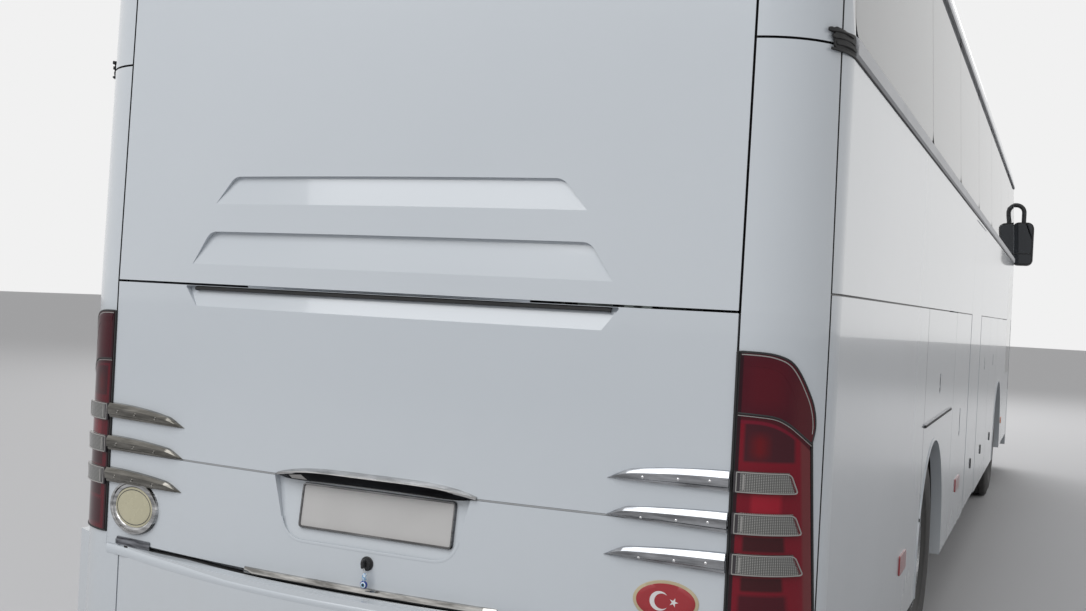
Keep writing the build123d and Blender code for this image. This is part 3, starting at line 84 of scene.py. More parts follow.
def mixed(tree, factor, first, second, mode="MIX"):
    """Two colours mixed by a mask."""
    node = tree.nodes.new("ShaderNodeMix")
    node.data_type = "RGBA"
    node.blend_type = mode
    for index, value in ((0, factor), (6, first), (7, second)):
        feed(tree, node.inputs[index], value)
    return node.outputs[2]


def place(tree):
    """The point of the surface in the row frame: the vector and its three parts."""
    coords = add_node(tree, "TexCoord").outputs["Object"]
    parts = add_node(tree, "SeparateXYZ", {"Vector": coords})
    return coords, parts.outputs[0], parts.outputs[1], parts.outputs[2]


def make_group(name, inputs, outputs):
    """An empty shader group with named inputs and outputs."""
    group = bpy.data.node_groups.new(name, "ShaderNodeTree")
    for label, default in inputs.items():
        kind = "NodeSocketColor" if isinstance(default, tuple) else "NodeSocketFloat"
        socket = group.interface.new_socket(label, in_out="INPUT", socket_type=kind)
        socket.default_value = default
    for label, kind in outputs.items():
        group.interface.new_socket(label, in_out="OUTPUT", socket_type="NodeSocket" + kind)
    return group, group.nodes.new("NodeGroupInput"), group.nodes.new("NodeGroupOutput")


def use_group(tree, group, **values):
    """A group placed in a material with its own values."""
    node = tree.nodes.new("ShaderNodeGroup")
    node.node_tree = group
    for name, value in values.items():
        feed(tree, node.inputs[name.replace("_", " ")], value)
    return node.outputs


def road_film_group():
    """Dust that road spray leaves: thick near the ground, patchy, with faint upright runs."""
    group, source, sink = make_group(
        "road_film", {"Top": 1.2, "Amount": 0.5, "Grain": 6.0}, {"Mask": "Float", "Grit": "Float"}
    )
    coords, x, y, z = place(group)
    below_top = calc(group, "SUBTRACT", source.outputs["Top"], z)
    height = calc(group, "DIVIDE", below_top, source.outputs["Top"], clamp=True)
    runs = add_node(group, "Mapping", {"Vector": coords, "Scale": (1.0, 1.0, 0.12)})
    patches = add_node(group, "TexNoise", {"Vector": coords, "Scale": source.outputs["Grain"], "Detail": 6.0})
    streaks = add_node(group, "TexNoise", {"Vector": runs.outputs[0], "Scale": 14.0, "Detail": 3.0})
    grit = add_node(group, "TexNoise", {"Vector": coords, "Scale": 260.0, "Detail": 2.0})
    both = calc(group, "MULTIPLY", patches.outputs["Fac"], calc(group, "ADD", streaks.outputs["Fac"], 0.35))
    spread = calc(group, "MULTIPLY", calc(group, "POWER", height, 1.4), calc(group, "MULTIPLY", both, 1.7))
    feed(group, sink.inputs["Mask"], calc(group, "MULTIPLY", spread, source.outputs["Amount"], clamp=True))
    feed(group, sink.inputs["Grit"], grit.outputs["Fac"])
    return group


def grain_group():
    """A cast, sprayed or moulded grain: a fine height and a broad patch mask."""
    group, source, sink = make_group(
        "surface_grain",
        {"Scale": 120.0, "Patch Scale": 3.0, "Strength": 0.2, "Depth": 0.001},
        {"Patch": "Float", "Normal": "Vector"},
    )
    coords, x, y, z = place(group)
    fine = add_node(group, "TexNoise", {"Vector": coords, "Scale": source.outputs["Scale"], "Detail": 4.0})
    broad = add_node(
        group, "TexNoise", {"Vector": coords, "Scale": source.outputs["Patch Scale"], "Detail": 5.0}
    )
    bump = add_node(
        group,
        "Bump",
        {
            "Height": fine.outputs["Fac"],
            "Strength": source.outputs["Strength"],
            "Distance": source.outputs["Depth"],
        },
    )
    feed(group, sink.inputs["Patch"], broad.outputs["Fac"])
    feed(group, sink.inputs["Normal"], bump.outputs[0])
    return group


road_film = road_film_group()
surface_grain = grain_group()
dust_colour = (0.36, 0.33, 0.29, 1)


def dress(material, *nodes):
    """Puts one material on CAD nodes."""
    for node in nodes:
        cad[node].data.materials.clear()
        cad[node].data.materials.append(material)


def dimmed(colour, share):
    """A share of a colour, for the dull patches of the same finish."""
    return (*[share * part for part in colour[:3]], 1)


def surfaced(tree, shader, tone, rough, normal):
    """Gives a finish its colour, roughness and relief."""
    for label, value in (("Base Color", tone), ("Roughness", rough), ("Normal", normal)):
        feed(tree, shader.inputs[label], value)


def coated_metal(name, colour, roughness, film=0.6, top=1.3, metallic=0.0, grain=160.0, strength=0.25):
    """Sprayed or cast metal with broad tone changes, a fine skin and dust from the road."""
    material, tree, shader = new_material(name)
    skin = use_group(tree, surface_grain, Scale=grain, Patch_Scale=4.0, Strength=strength, Depth=0.0015)
    dust = use_group(tree, road_film, Top=top, Amount=film, Grain=5.0)
    tone = mixed(tree, skin["Patch"], dimmed(colour, 0.6), colour)
    tone = mixed(tree, dust["Mask"], tone, dust_colour)
    rough = calc(tree, "MULTIPLY_ADD", dust["Mask"], 0.5, roughness, clamp=True)
    surfaced(tree, shader, tone, rough, skin["Normal"])
    shader.inputs["Metallic"].default_value = metallic
    return material


underbody_wax = coated_metal("underbody_wax", (0.035, 0.035, 0.037, 1), 0.5, film=0.8)
dress(underbody_wax, "underframe", "wheel_housings")


# Axles and knuckles: forged and cast steel, painted black and greyed by the road, hung on
# rubber air springs between the beams and the rails.
axle_black = coated_metal("axle_black", (0.05, 0.05, 0.052, 1), 0.45, film=0.9, grain=60.0, strength=0.5)
dress(axle_black, "rear_axle", "front_axle", "knuckle_left", "knuckle_right")


# Engine and gearbox: one cast block bolted between the rails in the tail, painted grey and
# gone oily below.
engine_grey = coated_metal("engine_grey", (0.16, 0.17, 0.18, 1), 0.55, film=0.5, grain=40.0, strength=0.6)
dress(engine_grey, "engine")


# Tyres: radial road tyres with four grooves round the tread and notched shoulder blocks, moulded
# black rubber gone brown-grey with dust, seated on the rims. The rear wheels carry two each side.
def mesh_piece(name, verts, faces, material, smooth=True):
    """A mesh object with its faces turned outwards."""
    mesh = bpy.data.meshes.new(name)
    mesh.from_pydata(verts, [], faces)
    mesh.validate()
    shape = bmesh.new()
    shape.from_mesh(mesh)
    bmesh.ops.recalc_face_normals(shape, faces=shape.faces)
    shape.to_mesh(mesh)
    shape.free()
    if smooth:
        mesh.shade_smooth()
    mesh.materials.append(material)
    piece = bpy.data.objects.new(name, mesh)
    bpy.context.scene.collection.objects.link(piece)
    return piece


def turned(rows, centre, axis, steps, closed=False, notch=None):
    """Points and faces of (along, radius) rows turned about an axis.

    A row of no radius is a pole, and notch may lower a point.
    """
    axis = Vector(axis).normalized()
    first = axis.orthogonal().normalized()
    second = axis.cross(first)
    rings, verts, faces = [], [], []
    for index, (along, radius) in enumerate(rows):
        foot = Vector(centre) + axis * along
        if radius == 0:
            rings.append([len(verts)] * steps)
            verts.append(foot)
            continue
        rings.append(range(len(verts), len(verts) + steps))
        for step in range(steps):
            angle = 2 * math.pi * step / steps
            reach = radius + (notch(index, step) if notch else 0.0)
            verts.append(foot + (first * math.cos(angle) + second * math.sin(angle)) * reach)
    neighbours = list(zip(rings, rings[1:])) + ([(rings[-1], rings[0])] if closed else [])
    for lower, upper in neighbours:
        for step in range(steps):
            after = (step + 1) % steps
            corners = dict.fromkeys((lower[step], lower[after], upper[after], upper[step]))
            faces.append(tuple(corners))
    return verts, faces


def joined(name, shapes, material, smooth=True):
    """One mesh piece from several (points, faces) pairs."""
    verts, faces = [], []
    for points, sides in shapes:
        start = len(verts)
        verts += points
        faces += [tuple(start + corner for corner in side) for side in sides]
    return mesh_piece(name, verts, faces, material, smooth)


def keep_edges(piece, angle=35.0):
    """Flat where faces meet sharply, smooth elsewhere."""
    piece.data.shade_smooth()
    piece.data.set_sharp_from_angle(angle=math.radians(angle))
    return piece


def axle_line(rim):
    """Where along the coach a wheel turns, from the box of its rim."""
    low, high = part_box(rim)
    return (low.y + high.y) / 2


tyre_radius = 0.51
groove_floor = 0.497
wheel_z = tyre_radius
wheel_x = 1.095
twin_gap = 0.335
front_axle_y = axle_line("rim_front_left")
rear_axle_y = axle_line("rim_rear_left")
# Half of the tyre's section as (distance from its middle, radius): tread, shoulder, wall, bead.
tyre_rows = []
for groove_x in (0.020, 0.062):
    tyre_rows += [
        (groove_x - 0.006, tyre_radius), (groove_x - 0.004, groove_floor),
        (groove_x + 0.004, groove_floor), (groove_x + 0.006, tyre_radius),
    ]
tyre_rows += [
    (0.109, 0.5095), (0.120, 0.497), (0.127, 0.474), (0.132, 0.462), (0.133, 0.455), (0.1405, 0.438),
    (0.1448, 0.405), (0.1425, 0.365), (0.1335, 0.330), (0.131, 0.322), (0.1275, 0.320), (0.121, 0.302),
    (0.112, 0.287),
]
tyre_rows += [(-out, radius) for out, radius in reversed(tyre_rows)]
shoulder_rows = {8, 9, len(tyre_rows) - 10, len(tyre_rows) - 9}
block_steps = 4
notch_depth = 0.009


def block_notch(index, step):
    """The notches that part the shoulder blocks."""
    return -notch_depth if index in shoulder_rows and step % block_steps == 0 else 0.0


def tyre_rubber_material():
    """Black tread rubber, rubbed and dusty in patches."""
    material, tree, shader = new_material("tyre_rubber")
    skin = use_group(tree, surface_grain, Scale=90.0, Patch_Scale=7.0, Strength=0.35, Depth=0.001)
    coords, x, y, z = place(tree)
    grit = add_node(tree, "TexNoise", {"Vector": coords, "Scale": 30.0, "Detail": 7.0})
    dusty = calc(tree, "MULTIPLY", grit.outputs["Fac"], skin["Patch"])
    tone = mixed(tree, dusty, (0.018, 0.018, 0.019, 1), (0.10, 0.095, 0.088, 1))
    rough = calc(tree, "MULTIPLY_ADD", skin["Patch"], 0.3, 0.55, clamp=True)
    surfaced(tree, shader, tone, rough, skin["Normal"])
    return material


tyre_rubber = tyre_rubber_material()
tyre_steps = 120
# CAD node, body, axle, side, and how far each tyre stands out from the first.
wheel_sets = (
    ("tyre_front_left", "wheel_front_left", front_axle_y, 1, (0.0,)),
    ("tyre_front_right", "wheel_front_right", front_axle_y, -1, (0.0,)),
    ("tyres_rear_left", "wheel_rear_left", rear_axle_y, 1, (0.0, -twin_gap)),
    ("tyres_rear_right", "wheel_rear_right", rear_axle_y, -1, (0.0, -twin_gap)),
)
for node, body, axle_y, side, offsets in wheel_sets:
    rings = [
        turned(
            tyre_rows, (side * (wheel_x + offset), axle_y, wheel_z), (side, 0, 0), tyre_steps, True,
            block_notch,
        )
        for offset in offsets
    ]
    tyres = keep_edges(joined(node + "_tread", rings, tyre_rubber), 50.0)
    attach(tyres, body)
    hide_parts(node)


# Wheels: forged light-alloy discs, dished and polished on face and rim, held on the hub's studs
# by ten bright nuts.
def span(tree, across, up):
    """The distance from the middle of two coordinates."""
    return calc(
        tree, "SQRT", calc(tree, "ADD", *[calc(tree, "MULTIPLY", part, part) for part in (across, up)])
    )


def brushed_alloy(name, colour, roughness, ring_centre=None):
    """Bare aluminium with turning marks about a wheel's centre, or drawn lines along Y."""
    material, tree, shader = new_material(name)
    coords, x, y, z = place(tree)
    if ring_centre:
        radius = span(
            tree, calc(tree, "SUBTRACT", y, ring_centre[0]), calc(tree, "SUBTRACT", z, ring_centre[1])
        )
        lines = add_node(tree, "CombineXYZ", {"X": radius, "Y": x, "Z": 0.0}).outputs[0]
    else:
        lines = add_node(tree, "Mapping", {"Vector": coords, "Scale": (1.0, 0.02, 1.0)}).outputs[0]
    marks = add_node(tree, "TexNoise", {"Vector": lines, "Scale": 700.0, "Detail": 3.0})
    skin = use_group(tree, surface_grain, Scale=25.0, Patch_Scale=6.0, Strength=0.05, Depth=0.001)
    tone = mixed(tree, skin["Patch"], dimmed(colour, 0.72), colour)
    rough = calc(tree, "MULTIPLY_ADD", marks.outputs["Fac"], 0.18, roughness, clamp=True)
    bump = add_node(tree, "Bump", {"Height": marks.outputs["Fac"], "Strength": 0.08, "Distance": 0.0006})
    surfaced(tree, shader, tone, rough, bump.outputs[0])
    shader.inputs["Metallic"].default_value = 1.0
    return material


front_alloy = brushed_alloy("front_wheel_alloy", (0.74, 0.75, 0.77, 1), 0.14, (front_axle_y, wheel_z))
rear_alloy = brushed_alloy("rear_wheel_alloy", (0.70, 0.71, 0.73, 1), 0.16, (rear_axle_y, wheel_z))
dress(front_alloy, "rim_front_left", "rim_front_right")
dress(rear_alloy, "rim_rear_left", "rim_rear_right")


def chrome_material():
    """Plated steel: bright, with faint smears and pits."""
    material, tree, shader = new_material("bright_chrome")
    colour = (0.78, 0.78, 0.79, 1)
    skin = use_group(tree, surface_grain, Scale=35.0, Patch_Scale=9.0, Strength=0.04, Depth=0.001)
    tone = mixed(tree, skin["Patch"], dimmed(colour, 0.8), colour)
    rough = calc(tree, "MULTIPLY_ADD", skin["Patch"], 0.14, 0.02, clamp=True)
    surfaced(tree, shader, tone, rough, skin["Normal"])
    shader.inputs["Metallic"].default_value = 1.0
    return material


chrome = chrome_material()
stud_circle_radius = 0.1675
nut_count = 10
nut_rows = [
    (-0.004, 0.0), (-0.004, 0.0175), (0.0, 0.0175), (0.001, 0.016), (0.016, 0.016), (0.019, 0.012),
    (0.026, 0.011), (0.028, 0.0),
]


def bolt_ring(rows, centre, side, count, radius):
    """Six-sided nuts or bolts that stand in a ring on a wheel."""
    shapes = []
    for index in range(count):
        turn = 2 * math.pi * index / count
        spot = (centre[0], centre[1] + radius * math.cos(turn), centre[2] + radius * math.sin(turn))
        shapes.append(turned(rows, spot, (side, 0, 0), 6))
    return shapes


disc_face = {"front": 0.0625, "rear": -0.153}
for end, axle_y in (("front", front_axle_y), ("rear", rear_axle_y)):
    for name, side in (("left", 1), ("right", -1)):
        centre = (side * (wheel_x + disc_face[end]), axle_y, wheel_z)
        nuts = bolt_ring(nut_rows, centre, side, nut_count, stud_circle_radius)
        ring = keep_edges(joined(f"wheel_nuts_{end}_{name}", nuts, chrome), 25.0)
        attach(ring, f"wheel_{end}_{name}")


# Body shell: glass-fibre and steel panels bonded to a tube frame and sprayed in one gloss
# white, with dark sealer in the seams between panels and dust on the lower edges.
def seam_group():
    """One where a coordinate lies within half a width of a seam's place."""
    group, source, sink = make_group(
        "seam_line", {"Coordinate": 0.0, "Centre": 0.0, "Half": 0.0034}, {"Mask": "Float"}
    )
    offset = calc(
        group, "ABSOLUTE",
        calc(group, "SUBTRACT", source.outputs["Coordinate"], source.outputs["Centre"]),
    )
    feed(group, sink.inputs["Mask"], calc(group, "LESS_THAN", offset, source.outputs["Half"]))
    return group


def paint_skin_group():
    """Sprayed gloss on a large panel: orange peel over the panel's own slow waves."""
    group, source, sink = make_group(
        "paint_skin", {"Peel": 0.06, "Wave": 0.25}, {"Patch": "Float", "Normal": "Vector"}
    )
    coords, x, y, z = place(group)
    peel = add_node(group, "TexNoise", {"Vector": coords, "Scale": 210.0, "Detail": 2.0})
    wave = add_node(group, "TexNoise", {"Vector": coords, "Scale": 1.7, "Detail": 2.0})
    patch = add_node(group, "TexNoise", {"Vector": coords, "Scale": 0.8, "Detail": 4.0})
    slow = add_node(
        group, "Bump", {"Height": wave.outputs["Fac"], "Strength": source.outputs["Wave"], "Distance": 0.01}
    )
    fine = add_node(
        group, "Bump", {"Height": peel.outputs["Fac"], "Strength": source.outputs["Peel"], "Distance": 0.0005}
    )
    feed(group, fine.inputs["Normal"], slow.outputs[0])
    feed(group, sink.inputs["Patch"], patch.outputs["Fac"])
    feed(group, sink.inputs["Normal"], fine.outputs[0])
    return group


def window_mask_group():
    """One inside an upright rectangle with rounded corners, of two coordinates."""
    group, source, sink = make_group(
        "window_mask",
        {
            "Across": 0.0, "Up": 0.0, "Middle Across": 0.0, "Middle Up": 0.0,
            "Half Width": 1.0, "Half Height": 1.0, "Corner": 0.1,
        },
        {"Mask": "Float"},
    )
    socket = source.outputs
    reaches = []
    for spot, middle, half in (("Across", "Middle Across", "Half Width"), ("Up", "Middle Up", "Half Height")):
        away = calc(group, "ABSOLUTE", calc(group, "SUBTRACT", socket[spot], socket[middle]))
        past = calc(group, "SUBTRACT", away, calc(group, "SUBTRACT", socket[half], socket["Corner"]))
        reaches.append(calc(group, "MAXIMUM", past, 0.0))
    feed(group, sink.inputs["Mask"], calc(group, "LESS_THAN", span(group, *reaches), socket["Corner"]))
    return group


seam_line = seam_group()
paint_skin = paint_skin_group()
window_mask = window_mask_group()
white = (0.565, 0.602, 0.640, 1)
white_shade = (0.505, 0.545, 0.588, 1)
sealer = (0.008, 0.008, 0.009, 1)
black_print = (0.010, 0.011, 0.012, 1)


def body_paint(name, seams=(), film=0.35, windows=(), coat=0.6):
    """Gloss white with dark sealer along the seams and black print round the glass.

    A seam is given as (axis, place), and a field of print as (axis, near, ahead, low, high, corner).
    """
    material, tree, shader = new_material(name)
    coords, x, y, z = place(tree)
    skin = use_group(tree, paint_skin, Peel=0.05, Wave=0.12)
    dust = use_group(tree, road_film, Top=1.1, Amount=film, Grain=2.5)
    tone = mixed(tree, skin["Patch"], white_shade, white)
    tone = mixed(tree, dust["Mask"], tone, dust_colour)
    dark = None
    parts = {"x": x, "y": y, "z": z, "side": calc(tree, "ABSOLUTE", x)}
    for axis, spot in seams:
        mask = use_group(tree, seam_line, Coordinate=parts[axis], Centre=spot)["Mask"]
        dark = mask if dark is None else calc(tree, "MAXIMUM", dark, mask)
    if dark is not None:
        tone = mixed(tree, dark, tone, sealer)
    for axis, near, ahead, low, high, corner in windows:
        field = use_group(
            tree, window_mask, Across=parts[axis], Up=z,
            Middle_Across=(near + ahead) / 2, Middle_Up=(low + high) / 2,
            Half_Width=(ahead - near) / 2, Half_Height=(high - low) / 2, Corner=corner,
        )
        tone = mixed(tree, field["Mask"], tone, black_print)
    rough = calc(tree, "MULTIPLY_ADD", dust["Mask"], 0.55, 0.2, clamp=True)
    if dark is not None:
        rough = calc(tree, "MAXIMUM", rough, calc(tree, "MULTIPLY", dark, 0.8))
    surfaced(tree, shader, tone, rough, skin["Normal"])
    shader.inputs["Coat Weight"].default_value = coat
    shader.inputs["Coat Roughness"].default_value = 0.04
    return material


# The tail's face stands at this Y. Places along the coach are counted forward from it.
face_y = 6.075
rear_seam = ("side", 1.057)
corner_seam = ("y", 5.835)
cap_seam = ("y", face_y - 11.39)
roof_seam = ("y", face_y - 0.56)
dome_seam = ("z", 2.370)
belt_seam = ("z", 1.708)
bumper_seam = ("z", 0.93)
panel_seams = (corner_seam, belt_seam, *[("y", face_y - station) for station in (2.6, 4.1, 8.55)])
wall_seams = (corner_seam, cap_seam, belt_seam)
wall_glass = (("y", face_y - 11.315, face_y - 0.305, 2.417, 3.205, 0.070),)
glass_fields = {
    "rear_panel": (("x", -0.952, 0.952, 2.678, 3.292, 0.150),),
    "front_mask": (("x", -1.150, 1.150, 1.440, 3.150, 0.150),),
    "wall_left": wall_glass,
    "wall_right": wall_glass,
}
painted = (
    ("rear_panel", (rear_seam, ("z", 3.395))),
    ("rear_dome", (rear_seam, dome_seam, corner_seam, roof_seam)),
    ("corner_posts", (rear_seam, dome_seam, corner_seam)),
    ("roof", (roof_seam, cap_seam)),
    ("wall_left", wall_seams),
    ("wall_right", wall_seams),
    ("lower_panels_left", panel_seams),
    ("lower_panels_right", panel_seams),
    ("front_mask", (cap_seam, bumper_seam)),
    ("front_bumper", (bumper_seam,)),
    ("rear_bumper", ()),
    ("engine_lid_upper", ()),
    ("engine_lid_lower", ()),
)
for node, seams in painted:
    dress(body_paint("paint_" + node, seams, windows=glass_fields.get(node, ())), node)
flap_paint = body_paint("paint_flaps")
for name in ("left", "right"):
    for part in ("rear", "middle", "front"):
        dress(flap_paint, f"flap_{name}_{part}")
dress(flap_paint, "door_leaf_front", "door_leaf_middle")


# Windows: toughened panes bonded flush into rebates, tinted nearly black at the sides and
# rear and lightly green in the windscreen and front door.
def pane_glass(name, colour, transmission):
    """Clear or tinted glass with faint waves and a film of dust."""
    material, tree, shader = new_material(name)
    skin = use_group(tree, paint_skin, Peel=0.0, Wave=0.05)
    dust = use_group(tree, road_film, Top=3.4, Amount=0.10, Grain=3.0)
    tone = mixed(tree, dust["Mask"], colour, (0.2, 0.2, 0.2, 1))
    rough = calc(tree, "MULTIPLY_ADD", dust["Mask"], 0.2, 0.015, clamp=True)
    surfaced(tree, shader, tone, rough, skin["Normal"])
    shader.inputs["Transmission Weight"].default_value = transmission
    shader.inputs["IOR"].default_value = 1.5
    return material


dark_glass = pane_glass("dark_glass", (0.10, 0.12, 0.13, 1), 0.85)
clear_glass = pane_glass("clear_glass", (0.72, 0.82, 0.79, 1), 1.0)
dress(dark_glass, "side_glass", "rear_window")
dress(clear_glass, "windscreen", "door_glass_front")


# Belt trims: drawn aluminium strips that run under the side glass along both flanks, held by
# hidden clips.
trim_alloy = brushed_alloy("trim_alloy", (0.42, 0.43, 0.45, 1), 0.3)
dress(trim_alloy, "belt_trims")


# Plastic pieces: mirror heads and arms, wipers, dashboard and steering wheel, moulded in
# black with a leather-like grain.
def moulded_plastic(name, colour, roughness=0.5, grain=300.0, strength=0.3):
    """Moulded plastic, rubber or vinyl with a fine grain."""
    material, tree, shader = new_material(name)
    skin = use_group(tree, surface_grain, Scale=grain, Patch_Scale=5.0, Strength=strength, Depth=0.0008)
    tone = mixed(tree, skin["Patch"], dimmed(colour, 0.7), colour)
    rough = calc(tree, "MULTIPLY_ADD", skin["Patch"], 0.25, roughness - 0.1, clamp=True)
    surfaced(tree, shader, tone, rough, skin["Normal"])
    return material


black_plastic = moulded_plastic("black_plastic", (0.022, 0.022, 0.024, 1))
dress(black_plastic, "mirrors", "wipers", "dashboard", "steering_wheel")
pale_plastic = moulded_plastic("pale_moulding", (0.62, 0.63, 0.63, 1), 0.45)
dress(pale_plastic, "roof_units", "luggage_racks")
arm_black = coated_metal("arm_black", (0.03, 0.03, 0.032, 1), 0.4, film=0.2)
dress(arm_black, "door_arm_front", "door_arm_middle")


# Cabin: hard-wearing vinyl glued to the floor and the stairs, and a luggage bay lined with
# plain aluminium sheet.
vinyl = moulded_plastic("floor_vinyl", (0.09, 0.09, 0.10, 1), 0.6, 500.0, 0.3)
dress(vinyl, "cabin_floor", "stairs")
bay_sheet = brushed_alloy("bay_sheet", (0.5, 0.51, 0.52, 1), 0.4)
dress(bay_sheet, "luggage_bay")


# Tail lamps: moulded lenses in the corner posts, sealed with a black gasket. The upper red lens
# is parted from the lower one, which holds three clear ribbed strips, and a thin red crown carries
# each lens out to its shoulder. Pale lines round the strips and along the lens edges are painted highlights.
corner_centre = (1.027, 5.7521)
corner_radius = 0.248
face_centre_y = -1.255
face_radius = 7.33
face_edge_x = 1.063


def tail_spot(x, z, out=0.0):
    """A point on the tail at a distance from the centre plane, and the way out of the skin there.

    In plan the tail is a flat arc across the back, with a tight one round each corner.
    """
    if abs(x) > face_edge_x:
        centre_x, centre_y, radius = math.copysign(corner_centre[0], x), corner_centre[1], corner_radius
    else:
        centre_x, centre_y, radius = 0.0, face_centre_y, face_radius
    along = x - centre_x
    way = Vector((along, math.sqrt(radius * radius - along * along), 0)) / radius
    return Vector((centre_x, centre_y, z)) + way * (radius + out), way


def strung(rows, closed=False, sheet=False):
    """Points and faces of a section carried along rows of points, as a tube, a ring or an open sheet."""
    corners = len(rows[0])
    faces = []
    for step in range(len(rows) if closed else len(rows) - 1):
        near, ahead = step * corners, (step + 1) % len(rows) * corners
        for corner in range(corners - 1 if sheet else corners):
            beside = (corner + 1) % corners
            faces.append((near + corner, near + beside, ahead + beside, ahead + corner))
    if not (closed or sheet):
        last = (len(rows) - 1) * corners
        faces += [tuple(range(corners)), tuple(range(last, last + corners))]
    return [point for row in rows for point in row], faces


def swept(spots, ways, half, rise, sink=0.002, closed=False):
    """Points and faces of a low bead with chamfered shoulders, along spots on a skin."""
    shoulder = 0.55
    section = (
        (-half, -sink), (-half, shoulder * rise), (-shoulder * half, rise),
        (shoulder * half, rise), (half, shoulder * rise), (half, -sink),
    )
    rows = []
    count = len(spots)
    for index in range(count):
        before = spots[index - 1] if closed or index else spots[index]
        after = spots[(index + 1) % count] if closed or index < count - 1 else spots[index]
        across = (after - before).cross(ways[index]).normalized()
        rows.append([spots[index] + across * side + ways[index] * height for side, height in section])
    return strung(rows, closed)


def rounded(corners, radii, steps=5):
    """A closed outline with its corners rounded."""
    outline = []
    count = len(corners)
    for index, radius in zip(range(count), radii):
        corner = Vector(corners[index])
        before = (Vector(corners[index - 1]) - corner).normalized()
        after = (Vector(corners[(index + 1) % count]) - corner).normalized()
        cut = radius / math.tan(before.angle(after) / 2)
        for step in range(steps + 1):
            part = step / steps
            outline.append(corner + before * cut * (1 - part) ** 2 + after * cut * part**2)
    return outline


def bowed(points, steps=6):
    """A smooth open line through points."""
    line = []
    knots = [points[0], *points, points[-1]]
    for before, near, ahead, beyond in zip(knots, knots[1:], knots[2:], knots[3:]):
        before, near, ahead, beyond = map(Vector, (before, near, ahead, beyond))
        for step in range(steps):
            part = step / steps
            line.append(
                0.5 * (2 * near + (ahead - before) * part
                       + (2 * before - 5 * near + 4 * ahead - beyond) * part**2
                       + (3 * near - before - 3 * ahead + beyond) * part**3)
            )
    return line + [Vector(points[-1])]


def filled_in(points, longest):
    """The same line with points added so that no step is longer than given."""
    line = [Vector(points[0])]
    for before, after in zip(points, points[1:]):
        before, after = Vector(before), Vector(after)
        pieces = max(1, math.ceil((after - before).length / longest))
        line += [before.lerp(after, (piece + 1) / pieces) for piece in range(pieces)]
    return line


def tail_bead(line, side, half, rise, out=0.0, closed=False):
    """A bead along a line of (distance from the centre plane, height) on the tail."""
    line = filled_in([*line, line[0]], 0.02)[:-1] if closed else filled_in(line, 0.02)
    spots, ways = zip(*[tail_spot(side * across, height, out) for across, height in line])
    return swept(spots, ways, half, rise, closed=closed)


both_sides = (("right", -1), ("left", 1))
# Lines on the tail as (distance from the centre plane, height).
lamp_shoulder_line = bowed(
    [
        (1.069, 1.5455), (1.102, 1.5450), (1.130, 1.5435), (1.152, 1.5400), (1.176, 1.5310),
        (1.191, 1.5186), (1.203, 1.5005), (1.2131, 1.4790), (1.2234, 1.4520), (1.2325, 1.4240),
        (1.2382, 1.3960), (1.2408, 1.3680), (1.2402, 1.3440), (1.2362, 1.3160),
    ],
    3,
)
lamp_outline = [(1.058, 1.5458), *lamp_shoulder_line, (1.257, 0.812), (1.058, 0.812)]
divider_line = bowed([
    (1.066, 1.386), (1.110, 1.384), (1.155, 1.379), (1.184, 1.364), (1.208, 1.342), (1.235, 1.312)
])
lens_out = 0.004
strip_out = 0.013
# Foot, top, and outer end at the top and at the foot of each clear strip.
lamp_strips = ((1.181, 1.236, 1.196, 1.212), (1.073, 1.128, 1.208, 1.224), (0.967, 1.022, 1.212, 1.230))
gasket = moulded_plastic("lamp_gasket", (0.012, 0.012, 0.013, 1), 0.6, 400.0, 0.2)
# Pale grey for the lines painted as highlights along the lamps' lens edges, and for the plate lamp's lens.
lens_edge = moulded_plastic("lens_edge", (0.34, 0.33, 0.32, 1), 0.25, 200.0, 0.05)


